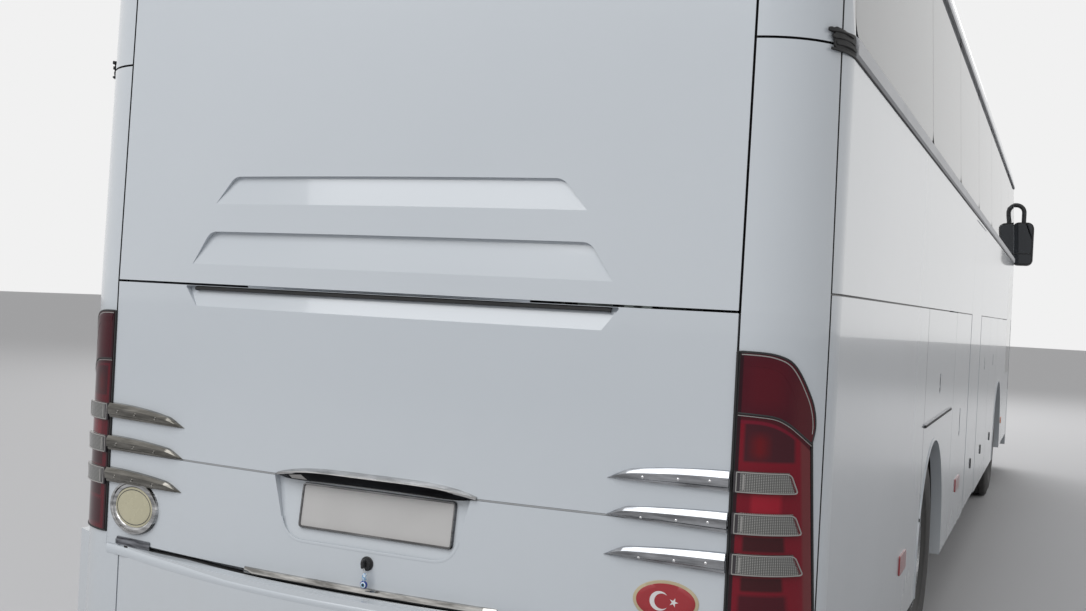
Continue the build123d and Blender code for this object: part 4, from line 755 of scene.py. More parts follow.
def tail_lamp_material():
    """Red lenses in chambers of several depths of red, and clear ribbed strips over grey reflectors. Soft
    lighter patches in the upper lens are painted light, and the left lamp is darkened as painted shade.
    """
    material, tree, shader = new_material("tail_lamp_lens")
    coords, x, y, z = place(tree)
    across = calc(tree, "ABSOLUTE", x)
    from_centre = [calc(tree, "SUBTRACT", part, middle) for part, middle in zip((across, y), corner_centre)]
    run = calc(tree, "MULTIPLY", calc(tree, "ARCTAN2", *from_centre), corner_radius)

    def past(one, other, soft):
        """One where the first is greater than the second, with an edge as wide as given."""
        return calc(tree, "MULTIPLY_ADD", calc(tree, "SUBTRACT", one, other), 1 / soft, 0.5, clamp=True)

    def zone(low, high, near, ahead, slant=0.0, soft=0.0006):
        """One inside a band of heights and distances from the centre plane, with a slanted outer end."""
        end = calc(tree, "MULTIPLY_ADD", calc(tree, "SUBTRACT", high, z), slant, ahead)
        tall = calc(tree, "MULTIPLY", past(z, low, soft), past(high, z, soft))
        wide = calc(tree, "MULTIPLY", past(across, near, soft), past(end, across, soft))
        return calc(tree, "MULTIPLY", tall, wide)

    def chambered(tone, chambers):
        """A lens with its chambers, each as (foot, top, inner end, outer end, slant, softness, colour)."""
        for *reach, colour in chambers:
            tone = mixed(tree, zone(*reach), tone, colour)
        return tone

    skin = use_group(tree, surface_grain, Scale=60.0, Patch_Scale=14.0, Strength=0.03, Depth=0.001)
    upright = add_node(tree, "CombineXYZ", {"X": run, "Y": z}).outputs[0]
    lying = add_node(tree, "CombineXYZ", {"X": z, "Y": run}).outputs[0]
    prisms = add_node(tree, "TexWave", {"Vector": upright, "Scale": 55.0})
    rows = add_node(tree, "TexWave", {"Vector": lying, "Scale": 75.0})
    # In the upper lens the two soft lighter patches, one high near the inner end and one at the outer end,
    # are painted light.
    upper = chambered(mixed(tree, skin["Patch"], (0.115, 0.020, 0.022, 1), (0.150, 0.030, 0.032, 1)), (
        (1.285, 1.560, 1.050, 1.300, 0.0, 0.0006, (0.060, 0.005, 0.012, 1)),
        (1.400, 1.525, 1.085, 1.185, 0.0, 0.050, (0.085, 0.005, 0.012, 1)),
        (1.290, 1.480, 1.200, 1.290, 0.0, 0.030, (0.085, 0.012, 0.017, 1)),
    ))
    lower = chambered((0.150, 0.028, 0.032, 1), (
        (0.80, 1.400, 1.050, 1.212, 0.05, 0.006, (0.170, 0.004, 0.014, 1)),
        (1.262, 1.420, 1.086, 1.200, 0.04, 0.008, (0.052, 0.008, 0.014, 1)),
        (1.272, 1.330, 1.108, 1.142, 0.0, 0.030, (0.130, 0.004, 0.008, 1)),
        (1.128, 1.181, 1.060, 1.112, 0.0, 0.003, (0.165, 0.002, 0.012, 1)),
        (1.128, 1.181, 1.110, 1.180, 0.0, 0.012, (0.300, 0.008, 0.022, 1)),
        (1.028, 1.068, 1.094, 1.190, 0.1, 0.008, (0.045, 0.005, 0.008, 1)),
        (0.925, 0.962, 1.094, 1.190, 0.1, 0.008, (0.045, 0.005, 0.008, 1)),
        (0.830, 0.915, 1.090, 1.200, 0.1, 0.012, (0.060, 0.004, 0.010, 1)),
    ))
    # How far a point is over the line between the two lenses, which is level and falls outwards.
    outer_run = calc(tree, "MAXIMUM", calc(tree, "SUBTRACT", across, 1.100), 0.0)
    divider = calc(tree, "MULTIPLY_ADD", calc(tree, "POWER", outer_run, 2.556), -12.4, 1.386)
    over = calc(tree, "SUBTRACT", z, divider)
    rim = calc(tree, "MULTIPLY", past(over, -0.026, 0.004), past(1.205, across, 0.006))
    lower = mixed(tree, rim, lower, (0.150, 0.006, 0.020, 1))
    lower = mixed(tree, past(over, -0.017, 0.004), lower, (0.060, 0.005, 0.010, 1))
    tone = mixed(tree, past(over, 0.0, 0.0006), lower, upper)
    # The margin under the gasket is dark, and the left lamp is darker than the right one, as painted shade.
    tone = mixed(tree, past(1.0745, across, 0.003), tone, (0.022, 0.004, 0.008, 1))
    left_lamp_shade = calc(tree, "MULTIPLY", calc(tree, "GREATER_THAN", x, 0.0), 0.55)
    tone = mixed(tree, left_lamp_shade, tone, (0.030, 0.002, 0.006, 1))
    clear = None
    for low, high, top_end, foot_end in lamp_strips:
        mask = zone(low - 0.0005, high + 0.0005, 1.0, top_end, (foot_end - top_end) / (high - low))
        clear = mask if clear is None else calc(tree, "MAXIMUM", clear, mask)
    ribs = calc(tree, "MULTIPLY", prisms.outputs["Fac"], rows.outputs["Fac"])
    glassy = mixed(tree, ribs, (0.090, 0.090, 0.086, 1), (0.38, 0.38, 0.37, 1))
    bezel = calc(tree, "LESS_THAN", across, 1.083)
    glassy = mixed(tree, bezel, glassy, (0.045, 0.04, 0.045, 1))
    rough = calc(tree, "MULTIPLY_ADD", skin["Patch"], 0.1, 0.05, clamp=True)
    bump = add_node(
        tree, "Bump", {"Height": calc(tree, "MULTIPLY", ribs, clear), "Strength": 0.25, "Distance": 0.001}
    )
    feed(tree, bump.inputs["Normal"], skin["Normal"])
    surfaced(tree, shader, mixed(tree, clear, tone, glassy), rough, bump.outputs[0])
    shader.inputs["Specular IOR Level"].default_value = 0.30
    return material


lamp_red = tail_lamp_material()
dress(lamp_red, "tail_lamps")
# The crown's section as (share of the way to the lamp's middle, height over the skin).
crown_section = (
    (0.0, -0.001), (0.0, 0.0048), (0.06, 0.0048), (0.12, 0.0048), (0.18, 0.0048), (0.24, 0.0046),
    (0.25, 0.0010),
)
lamp_middle = Vector((1.100, 1.400))
for name, side in both_sides:
    crown_rows = []
    for edge in lamp_shoulder_line:
        inward = [(edge.lerp(lamp_middle, share), out) for share, out in crown_section]
        crown_rows.append([tail_spot(side * spot.x, spot.y, out)[0] for spot, out in inward])
    lens_crown = keep_edges(joined(f"lens_crown_{name}", [strung(crown_rows, sheet=True)], lamp_red), 40)
    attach(lens_crown, "coach")
    seals = [
        tail_bead(lamp_outline, side, 0.0034, 0.0060, closed=True),
        tail_bead(divider_line, side, 0.0026, 0.0020, lens_out),
        tail_bead([(1.0602, 0.8110), (1.0598, 1.5450)], side, 0.0062, 0.0012),
    ]
    seal = keep_edges(joined(f"lamp_seal_{name}", seals, gasket), 40)
    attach(seal, "coach")
    # Pale lines along the lens edges and round the strips are painted highlights, where the edges catch the
    # light.
    top_edge_highlight = [
        (1.068, 1.5390),
        *[(across - 0.0050, height - 0.0062) for across, height in lamp_shoulder_line[1:-3]],
    ]
    edge_highlights = [
        tail_bead(top_edge_highlight, side, 0.0015, 0.0016, lens_out),
        tail_bead(
            [(across, height - 0.0055) for across, height in divider_line], side, 0.0011, 0.0012, lens_out
        ),
    ]
    for low, high, top_end, foot_end in lamp_strips:
        foot, top = low + 0.002, high - 0.002
        strip_highlight_line = rounded(
            [(1.071, foot), (1.071, top), (top_end - 0.003, top), (foot_end - 0.003, foot)],
            (0.002, 0.002, 0.016, 0.006),
        )
        edge_highlights.append(tail_bead(strip_highlight_line, side, 0.0015, 0.0014, strip_out, closed=True))
        edge_highlights.append(
            tail_bead([(1.088, low + 0.008), (1.0885, high - 0.008)], side, 0.0022, 0.0012, strip_out)
        )
    edge_highlight_piece = keep_edges(joined(f"lamp_edge_highlights_{name}", edge_highlights, lens_edge), 40)
    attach(edge_highlight_piece, "coach")


# Lid fins: pressed and plated steel fins with a bowed upper edge, which carry the lamps' strips
# on across the lid, each held by three small domed rivets along its ridge.
def plated(name, bright, darker, down_facing_reflection, low_way=-0.15, left_shade_tones=None):
    """Plated metal with painted reflections: long streaks between a bright and a darker tone, and another
    tone on faces that look down, which stands in for what they reflect.

    The left tones, a darker and a bright one, are painted shade for pieces on the left.
    """
    material, tree, shader = new_material(name)
    coords, x, y, z = place(tree)
    skin = use_group(tree, surface_grain, Scale=30.0, Patch_Scale=7.0, Strength=0.05, Depth=0.001)
    drawn = add_node(tree, "Mapping", {"Vector": coords, "Scale": (1.0, 1.0, 9.0)}).outputs[0]
    # Long streaks between the two tones, painted reflections.
    streaking = add_node(
        tree, "TexNoise", {"Vector": drawn, "Scale": 9.0, "Detail": 4.0, "Roughness": 0.6}
    ).outputs["Fac"]
    sharp = calc(tree, "MULTIPLY_ADD", calc(tree, "SUBTRACT", streaking, 0.5), 3.2, 0.5, clamp=True)
    tone = mixed(tree, sharp, darker, bright)
    facing = add_node(
        tree, "SeparateXYZ", {"Vector": add_node(tree, "NewGeometry").outputs["Normal"]}
    ).outputs[2]
    # Faces that look down get their own tone, a painted reflection of what lies below them.
    lower = mixed(tree, sharp, dimmed(down_facing_reflection, 0.45), down_facing_reflection)
    tone = mixed(tree, calc(tree, "LESS_THAN", facing, low_way), tone, lower)
    # Pieces on the left get darker tones, as painted shade.
    if left_shade_tones:
        tone = mixed(tree, calc(tree, "GREATER_THAN", x, 0.0), tone, mixed(tree, sharp, *left_shade_tones))
    rough = calc(tree, "MULTIPLY_ADD", skin["Patch"], 0.16, 0.04, clamp=True)
    surfaced(tree, shader, tone, rough, skin["Normal"])
    shader.inputs["Metallic"].default_value = 1.0
    return material


# The fins' streaks and their lighter faces that look down are painted reflections, and the fins on the left
# get darker tones as painted shade.
fin_chrome = plated(
    "fin_chrome", (0.47, 0.49, 0.52, 1), (0.29, 0.30, 0.32, 1), (0.50, 0.51, 0.53, 1), -0.02,
    left_shade_tones=((0.11, 0.106, 0.095, 1), (0.24, 0.23, 0.21, 1)),
)
# Foot and top at the root, and the height of the tip, of each fin on the right.
fin_heights = ((1.180, 1.235, 1.187), (1.072, 1.127, 1.088), (0.966, 1.021, 0.981))
# A fin's section as (share of its height, share of its depth).
fin_section = (
    (0.0, -0.12), (0.02, 0.50), (0.19, 0.66), (0.24, 0.84), (0.68, 1.0), (0.82, 0.84), (0.975, 0.62),
    (1.0, -0.12),
)
fin_root_x = 1.053
fin_tip_x = {-1: 0.728, 1: 0.713}
left_root_lift = (0.012, 0.006)
fin_steps = 28


def fin_shape(side, root_low, root_high, tip):
    """Points and faces of one fin: its section falls from full height and depth at the root to a point."""
    rows = []
    if side > 0:
        root_low, root_high = root_low + left_root_lift[0], root_high + left_root_lift[1]
    for step in range(fin_steps + 1):
        run = step / fin_steps
        across = fin_root_x + (fin_tip_x[side] - fin_root_x) * run
        low = root_low + (tip - root_low) * run
        bowed_top = root_high - (root_high - tip - 0.027) * (run / 0.86) ** 2.1
        closing = max(0.0, (run - 0.80) / 0.20)
        high = bowed_top + (low - bowed_top) * closing**1.7
        proud = 0.0245 - 0.006 * run - 0.0165 * closing**1.6
        section = [(low + (high - low) * share, proud * depth) for share, depth in fin_section]
        rows.append([tail_spot(side * across, level, out)[0] for level, out in section])
    return strung(rows)


fins = [fin_shape(side, *heights) for side in (-1, 1) for heights in fin_heights]
bright_fins = keep_edges(joined("bright_fins", fins, fin_chrome), 13)
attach(bright_fins, "engine_lid")
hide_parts("lid_fins")
dress(fin_chrome, "lid_fins")


def search_tree(*shapes):
    """A search tree over (points, faces) pairs, to lay pieces on them."""
    points, faces = [], []
    for verts, sides in shapes:
        start = len(points)
        points += verts
        faces += [[start + corner for corner in side] for side in sides]
    return BVHTree.FromPolygons(points, faces)


rivet_rows = [(-0.002, 0.0045), (0.0, 0.0045), (0.0012, 0.0038), (0.0019, 0.002), (0.0021, 0.0)]
# Distance from the centre plane, and share of the root's height, of each fin's rivets.
rivet_spots = ((0.830, 0.34), (0.925, 0.40), (1.008, 0.46))
left_rivet_lift = 0.010
fin_skin = search_tree(*fins)
rivets = []
for low, high, tip in fin_heights:
    for side in (-1, 1):
        for across, share in rivet_spots:
            level = low + share * (high - low) + (left_rivet_lift if side > 0 else 0.0)
            spot, way, face, reach = fin_skin.ray_cast(Vector((side * across, 7, level)), Vector((0, -1, 0)))
            if spot:
                rivets.append(turned(rivet_rows, spot, way, 10))
fin_rivets = keep_edges(joined("fin_rivets", rivets, chrome), 50)
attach(fin_rivets, "engine_lid")


# Number plate: a blank pressed plate in a grey frame on the pocket's leaning floor, with a bowed
# bright hood over it that hides the plate lamp, a bright strip along the lid's foot, and a
# painted lip rolled round the pocket's lower edge.
plate_middle = 1.002
plate_x = -0.022
pocket_top = 1.084
pocket_depth = 0.032
pocket_slope = math.atan2(0.024, 0.186)
pocket_way = Vector((0, math.cos(pocket_slope), math.sin(pocket_slope)))


def pocket_spot(across, up, out=0.0):
    """A point over the pocket's floor, measured from the plate's middle."""
    floor_y = face_y - pocket_depth + (pocket_top - plate_middle) * math.tan(pocket_slope)
    return (
        Vector((plate_x + across, floor_y, plate_middle))
        + Vector((0, -math.sin(pocket_slope), math.cos(pocket_slope))) * up
        + pocket_way * out
    )


def box_outline(across, up, width, height, corner, steps=5):
    """A rectangle round a middle, with rounded corners."""
    left, right = across - width / 2, across + width / 2
    foot, top = up - height / 2, up + height / 2
    return rounded([(left, foot), (left, top), (right, top), (right, foot)], (corner,) * 4, steps)


def plaque(outline, lay, rise, bevel, crown=0.0, rings=4, sink=0.003):
    """Points and faces of a raised plate with a bevelled edge and a crowned face.

    lay(across, up, out) places a point.
    """
    outline = [Vector(point) for point in outline]
    middle = sum(outline, Vector((0, 0))) / len(outline)
    size = min((point - middle).length for point in outline)
    shrink = 1 - bevel / size
    levels = [(1.0, -sink), (1.0, rise - bevel), (shrink, rise)]
    for ring in range(1, rings):
        part = 1 - ring / rings
        levels.append((shrink * part, rise + crown * (1 - part * part)))
    verts, faces = [], []
    count = len(outline)
    for scale, height in levels:
        verts += [lay(*(middle + (point - middle) * scale), height) for point in outline]
    verts.append(lay(*middle, rise + crown))
    for level in range(len(levels) - 1):
        for index in range(count):
            after = (index + 1) % count
            near, ahead = level * count, (level + 1) * count
            faces.append((near + index, near + after, ahead + after, ahead + index))
    last = (len(levels) - 1) * count
    faces += [(last + index, last + (index + 1) % count, len(verts) - 1) for index in range(count)]
    faces.append(tuple(range(count)))
    return verts, faces


def plate_material():
    """Painted aluminium plate: pale, with faint dents and a little dust along its foot."""
    material, tree, shader = new_material("number_plate")
    coords, x, y, z = place(tree)
    skin = use_group(tree, surface_grain, Scale=45.0, Patch_Scale=6.0, Strength=0.05, Depth=0.001)
    pale = mixed(tree, skin["Patch"], (0.44, 0.435, 0.43, 1), (0.52, 0.515, 0.51, 1))
    foot = calc(tree, "MULTIPLY", calc(tree, "SUBTRACT", 0.965, z), 9.0, clamp=True)
    tone = mixed(tree, foot, pale, (0.34, 0.33, 0.32, 1))
    surfaced(tree, shader, tone, calc(tree, "MULTIPLY_ADD", skin["Patch"], 0.2, 0.35), skin["Normal"])
    return material


# The frame's streaks and its dark faces that look down are painted reflections.
frame_steel = plated(
    "plate_frame_steel", (0.20, 0.20, 0.205, 1), (0.09, 0.09, 0.092, 1), (0.05, 0.05, 0.05, 1)
)
plate_line = box_outline(0.0, 0.0, 0.516, 0.128, 0.010)
plate_spots = [pocket_spot(across, up) for across, up in plate_line]
carrier_ring = swept(plate_spots, [pocket_way] * len(plate_line), 0.0038, 0.010, closed=True)
carrier = keep_edges(joined("plate_carrier", [carrier_ring], frame_steel), 40)
plate_face = plaque(plate_line, pocket_spot, 0.0062, 0.0012, 0.0006)
number_plate = keep_edges(joined("number_plate", [plate_face], plate_material()), 40)

hood_half, hood_x, hood_steps = 0.338, -0.016, 56
# The hood's streaks are painted reflections, and its faces that look down are painted nearly black, a painted
# dark reflection and shade.
hood_chrome = plated(
    "hood_chrome", (0.62, 0.62, 0.62, 1), (0.30, 0.30, 0.30, 1), (0.012, 0.012, 0.014, 1), -0.25
)


def hood_level(run):
    """Upper edge, crest, foot and depth of the hood at a share of its half length."""
    upper = 1.1215 - 0.027 * run**4
    foot = 1.0835 - 0.007 * run**2 + 0.013 * run**10
    return upper, upper - 0.0105 + 0.006 * run**6, foot, 0.033 - 0.024 * run**2.4


hood_rows = []
for step in range(hood_steps + 1):
    run = -1 + 2 * step / hood_steps
    upper, crest, foot, depth = hood_level(abs(run))
    section = (
        (upper, -0.006), (upper, 0.25 * depth), (upper - 0.003, 0.72 * depth),
        (crest + 0.003, 0.97 * depth), (crest, depth), (crest - 0.004, 0.96 * depth),
        (foot + 0.001, 0.42 * depth), (foot - 0.002, 0.25 * depth), (foot - 0.002, -0.012),
    )
    hood_rows.append([tail_spot(hood_x + hood_half * run, height, out)[0] for height, out in section])
plate_hood = keep_edges(joined("plate_hood", [strung(hood_rows)], hood_chrome), 22)


def hood_lay(across, up, out):
    """A point on the hood's lower face: up is a share from its foot to its crest."""
    upper, crest, foot, depth = hood_level(abs((across - hood_x) / hood_half))
    return tail_spot(across, foot + (crest - 0.004 - foot) * up, depth * (0.42 + 0.54 * up) + out)[0]


lens_outline = [(0.205, 0.12), (0.222, 0.86), (0.270, 0.80), (0.262, 0.12)]
lens_face = plaque(lens_outline, hood_lay, 0.0012, 0.0004, rings=2)
lamp_lens = keep_edges(joined("plate_lamp_lens", [lens_face], lens_edge), 40)

# The foot strip's section as (height, depth). Its depth falls off over the last two steps at each end.
strip_half, strip_steps = 0.432, 44
strip_root = -0.002
strip_section = ((0.7900, 0.009), (0.7845, 0.0150), (0.7770, 0.0165), (0.7725, 0.0140), (0.7706, 0.008))
strip_rows = []
for step in range(strip_steps + 1):
    across = strip_half - 2 * strip_half * step / strip_steps
    end = 0.35 + 0.65 * min(1.0, min(step, strip_steps - step) / 2)
    section = [
        (0.7905, strip_root),
        *[(height, depth * end) for height, depth in strip_section],
        (0.7706, strip_root),
    ]
    strip_rows.append([tail_spot(across, height, out)[0] for height, out in section])
# The strip's streaks and its dark faces that look down are painted reflections.
strip_chrome = plated(
    "strip_chrome", (0.58, 0.57, 0.55, 1), (0.20, 0.195, 0.185, 1), (0.05, 0.05, 0.05, 1), -0.3
)
foot_strip = keep_edges(joined("lid_foot_strip", [strung(strip_rows)], strip_chrome), 25)
for piece, slot in (
    (carrier, "dark_plastic"), (number_plate, "plate_grey"), (plate_hood, "bright_trim"),
    (lamp_lens, "lamp_clear"), (foot_strip, "bright_trim"),
):
    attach(piece, "engine_lid")
    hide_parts("plate_set")
dress(frame_steel, "plate_set")

# The pocket's outline without its two upper corners, which the hood hides.
lip_steps = 12
lip_corners = [(-0.3335, 1.078), (-0.2862, 0.8968), (0.2862, 0.8968), (0.3335, 1.078)]
lip_line = rounded(lip_corners, (0.001, 0.0855, 0.0855, 0.001), lip_steps)[lip_steps + 1:-(lip_steps + 1)]
lip_paint = body_paint("paint_lip", film=0.25, coat=0.2)
pocket_lip = keep_edges(joined("pocket_lip", [tail_bead(lip_line, 1, 0.0042, 0.0009)], lip_paint), 60)
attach(pocket_lip, "engine_lid")


# Lid seals: pale sealant in the joint between the lid's two panels, and a black strip along the
# top of the hand grip, a painted shadow where the fingers reach under the upper panel.
joint_sealant = moulded_plastic("joint_sealant", (0.40, 0.41, 0.42, 1), 0.5, 200.0, 0.1)
joint_line = [(0.334, 1.086), (1.052, 1.086)]
joint_beads = [tail_bead(joint_line, side, 0.0033, 0.0042, -0.0056) for name, side in both_sides]
joint_seal = keep_edges(joined("lid_joint_seal", joint_beads, joint_sealant), 40)
# A black strip along the grip's top, painted shadow under the upper panel's edge.
grip_shade_line = [(-0.712, 1.6355), (-0.700, 1.6375), (0.690, 1.6375), (0.702, 1.6355)]
grip_shade_strip = keep_edges(
    joined("hand_grip_shade", [tail_bead(grip_shade_line, 1, 0.0068, 0.012, -0.0160)], gasket), 40
)
for piece in (joint_seal, grip_shade_strip):
    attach(piece, "engine_lid")


# Bumper shelf: the moulding's upper flange, which reaches in under the lid's foot, with a soft
# rolled edge outside, painted fillets at the lid's corners, and a black rubber strip glued along
# it that the lid closes on.
def skin_of(*nodes):
    """A search tree over CAD nodes, to lay pieces on them."""
    meshes = [cad[node].data for node in nodes]
    return search_tree(*[
        ([vertex.co.copy() for vertex in mesh.vertices], [face.vertices for face in mesh.polygons])
        for mesh in meshes
    ])


def facing_skin(skin, spot, towards):
    """Where a line meets a skin, and the skin's normal turned to face back along the line."""
    place_found, way, face, reach = skin.ray_cast(Vector(spot), Vector(towards))
    if place_found is None:
        return None, None
    return place_found, way if way.dot(Vector(towards)) < 0 else -way


bumper_skin = skin_of("rear_bumper")
shelf_rows, seal_rows = [], []
shelf_level, shelf_foot = 0.7560, 0.7410
for step in range(71):
    across = -1.05 + 0.03 * step
    spot, way = facing_skin(bumper_skin, (across, 9, 0.740), (0, -1, 0))
    inner = tail_spot(across, 0.78)[0].y
    # The shelf stands lower under the foot strip than on both sides of it.
    top = 0.7652 + 0.0095 * min(1.0, max(0.0, (abs(across) - 0.44) / 0.22))
    if spot and spot.y > inner - 0.01:
        edge = max(spot.y, inner + 0.006) if abs(across) < 0.985 else inner + 0.001
        section = (
            (inner - 0.030, shelf_level), (inner - 0.030, top), (inner + 0.002, top),
            (edge - 0.010, top - 0.0006), (edge - 0.003, top - 0.0026), (edge + 0.0014, top - 0.0070),
            (edge + 0.0026, shelf_level), (edge + 0.0022, 0.7480), (edge + 0.0002, shelf_foot),
            (edge - 0.012, shelf_foot),
        )
        shelf_rows.append([Vector((across, *point)) for point in section])
    if spot and abs(across) < 0.98:
        section = (
            (inner - 0.024, top - 0.004), (inner - 0.024, top + 0.0024), (inner + 0.003, top + 0.0024),
            (inner + 0.006, top + 0.0006), (inner + 0.006, top - 0.004),
        )
        seal_rows.append([Vector((across, *point)) for point in section])


def tail_lay(across, up, out=0.0):
    """A point on the tail, for plates that are laid on it."""
    return tail_spot(across, up, out)[0]


fills = [tail_bead([(1.0602, 0.8095), (1.0602, 0.7700)], side, 0.0064, 0.0012) for name, side in both_sides]
for name, side in both_sides:
    corner = box_outline(side * 1.0335, 0.780, 0.047, 0.025, 0.003)
    fills.append(plaque(corner, tail_lay, 0.0, 0.0008, sink=0.004))
corner_fill = keep_edges(joined("lid_corner_fill", fills, body_paint("paint_fill", coat=0.2)), 50)
shelf_paint = body_paint("paint_shelf", film=0.0, coat=0.0)
bumper_shelf = keep_edges(joined("bumper_shelf", [strung(shelf_rows)], shelf_paint), 50)
bumper_seal = keep_edges(joined("bumper_seal", [strung(seal_rows)], gasket), 40)
for piece, slot in ((bumper_shelf, "body_paint"), (corner_fill, "body_paint"), (bumper_seal, "dark_plastic")):
    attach(piece, "coach")


# Lid lock: a black plastic knob screwed to the lid with its key left in, and a blue glass bead
# and a marbled drop that hang from it on a wire loop.
knob_x, knob_z = -0.0125, 0.862
knob_rows = [
    (-0.004, 0.0), (-0.004, 0.021), (0.002, 0.021), (0.004, 0.019), (0.004, 0.0165), (0.012, 0.0155),
    (0.0145, 0.0135), (0.0145, 0.008), (0.0125, 0.007), (0.0125, 0.0),
]


def knob_lay(across, up, out):
    """A point over the knob, for its key."""
    return Vector((across, face_y + out, up))


key_outline = box_outline(knob_x, knob_z + 0.002, 0.007, 0.024, 0.003)
lock_shapes = [
    turned(knob_rows, (knob_x, face_y, knob_z), (0, 1, 0), 32),
    plaque(key_outline, knob_lay, 0.030, 0.002, sink=-0.011),
]
lid_lock = keep_edges(joined("lid_lock", lock_shapes, black_plastic), 35)
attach(lid_lock, "engine_lid")


def oval_outline(half_across, half_up, middle, steps=64):
    """An oval round a middle."""
    turns = [2 * math.pi * step / steps for step in range(steps)]
    return [
        (middle[0] + half_across * math.cos(turn), middle[1] + half_up * math.sin(turn)) for turn in turns
    ]


bead_x, bead_z = -0.0175, 0.8050
hung_y = face_y + 0.0215
bead_rows = [
    (-0.0045, 0.0), (-0.0045, 0.009), (-0.002, 0.0118), (0.001, 0.0118), (0.0035, 0.0098), (0.005, 0.006),
    (0.0055, 0.0),
]
drop_outline = oval_outline(0.0068, 0.0125, (-0.0185, 0.8265), 28)


def bead_material():
    """Blue lamp-worked glass with rings of white and pale blue round a dark middle."""
    material, tree, shader = new_material("bead_glass")
    coords, x, y, z = place(tree)
    reach = span(tree, calc(tree, "SUBTRACT", x, bead_x), calc(tree, "SUBTRACT", z, bead_z))
    swirl = add_node(tree, "TexNoise", {"Vector": coords, "Scale": 220.0, "Detail": 3.0})
    reach = calc(tree, "MULTIPLY_ADD", swirl.outputs["Fac"], 0.0012, reach)
    colour = mixed(tree, swirl.outputs["Fac"], (0.005, 0.03, 0.20, 1), (0.008, 0.05, 0.32, 1))
    rings = (
        (0.0090, (0.75, 0.78, 0.80, 1)),
        (0.0066, (0.10, 0.38, 0.62, 1)),
        (0.0050, (0.01, 0.01, 0.012, 1)),
    )
    for edge, shade in rings:
        colour = mixed(tree, calc(tree, "LESS_THAN", reach, edge), colour, shade)
    feed(tree, shader.inputs["Base Color"], colour)
    shader.inputs["Roughness"].default_value = 0.08
    return material


def drop_material():
    """Pale blue and white glass, marbled along the drop."""
    material, tree, shader = new_material("drop_glass")
    coords, x, y, z = place(tree)
    marble = add_node(tree, "TexNoise", {"Vector": coords, "Scale": 160.0, "Detail": 3.0, "Distortion": 1.0})
    sharp = calc(
        tree, "MULTIPLY_ADD", calc(tree, "SUBTRACT", marble.outputs["Fac"], 0.5), 5.0, 0.5, clamp=True
    )
    feed(tree, shader.inputs["Base Color"], mixed(tree, sharp, (0.10, 0.30, 0.55, 1), (0.72, 0.76, 0.78, 1)))
    shader.inputs["Roughness"].default_value = 0.1
    return material


def hung_lay(across, up, out=0.0):
    """A point in the plane that the bead, the drop and their loops hang in."""
    return Vector((across, hung_y + out, up))


bead_shape = turned(bead_rows, hung_lay(bead_x, bead_z), (0, 1, 0), 32)
drop_shape = plaque(drop_outline, hung_lay, 0.0045, 0.0025, 0.001, sink=0.0035)
lock_bead = keep_edges(joined("lock_bead", [bead_shape], bead_material()), 60)
lock_drop = keep_edges(joined("lock_drop", [drop_shape], drop_material()), 60)
loop_line = [
    (-0.0175, 0.838), (-0.013, 0.844), (-0.011, 0.852), (-0.0125, 0.858), (-0.016, 0.852), (-0.020, 0.844)
]
link_line = [(-0.0190, 0.8135), (-0.0165, 0.8150), (-0.0170, 0.8175), (-0.0200, 0.8170)]
wires = []
for line in (loop_line, link_line):
    spots = [hung_lay(*spot) for spot in rounded(line, (0.002,) * len(line), 3)]
    wires.append(swept(spots, [Vector((0, 1, 0))] * len(spots), 0.0008, 0.0008, 0.0008, closed=True))
bead_loop = joined("bead_loop", wires, chrome)
for piece, slot in ((lock_bead, "lamp_clear"), (lock_drop, "lamp_clear"), (bead_loop, "bright_trim")):
    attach(piece, "engine_lid")


# Badges: an oval enamelled disc in a plated rim, glued to the lid, a small plated tag under the
# lid's corner, and an oval red vinyl sticker with a gold rim and a crescent and star.
def enamel(name, colour, roughness=0.2):
    """Enamel, print or tinted plastic: an even colour under a thin clear skin."""
    material, tree, shader = new_material(name)
    skin = use_group(tree, surface_grain, Scale=80.0, Patch_Scale=20.0, Strength=0.04, Depth=0.0006)
    tone = mixed(tree, skin["Patch"], dimmed(colour, 0.86), colour)
    rough = calc(tree, "MULTIPLY_ADD", skin["Patch"], 0.15, roughness, clamp=True)
    surfaced(tree, shader, tone, rough, skin["Normal"])
    shader.inputs["Coat Weight"].default_value = 0.4
    return material


badge_centre = (0.922, 0.9075)
sticker_centre = (-0.903, 0.875)


def oval_bead(half_across, half_up, half, rise, out=0.0):
    """A bead along an oval round the badge's middle."""
    spots, ways = zip(*[tail_spot(*spot, out) for spot in oval_outline(half_across, half_up, badge_centre)])
    return swept(spots, ways, half, rise, closed=True)


# The rim's streaks and its darker faces that look down are painted reflections.
badge_chrome = plated(
    "badge_chrome", (0.60, 0.60, 0.60, 1), (0.26, 0.26, 0.26, 1), (0.12, 0.12, 0.12, 1), -0.5
)
rim_beads = [oval_bead(0.0985, 0.0765, 0.0125, 0.0085), oval_bead(0.1045, 0.0825, 0.0065, 0.0120)]
badge_rim = keep_edges(joined("badge_rim", rim_beads, badge_chrome), 60)
cream_enamel = enamel("cream_enamel", (0.50, 0.47, 0.33, 1))
enamel_oval = plaque(oval_outline(0.0875, 0.0655, badge_centre), tail_lay, 0.0055, 0.0008, 0.0008)
badge_disc = keep_edges(joined("badge_disc", [enamel_oval], cream_enamel), 40)
dark_enamel = enamel("dark_enamel", (0.03, 0.03, 0.03, 1))
badge_line = joined("badge_line", [oval_bead(0.0790, 0.0570, 0.0014, 0.0012, 0.0052)], dark_enamel)
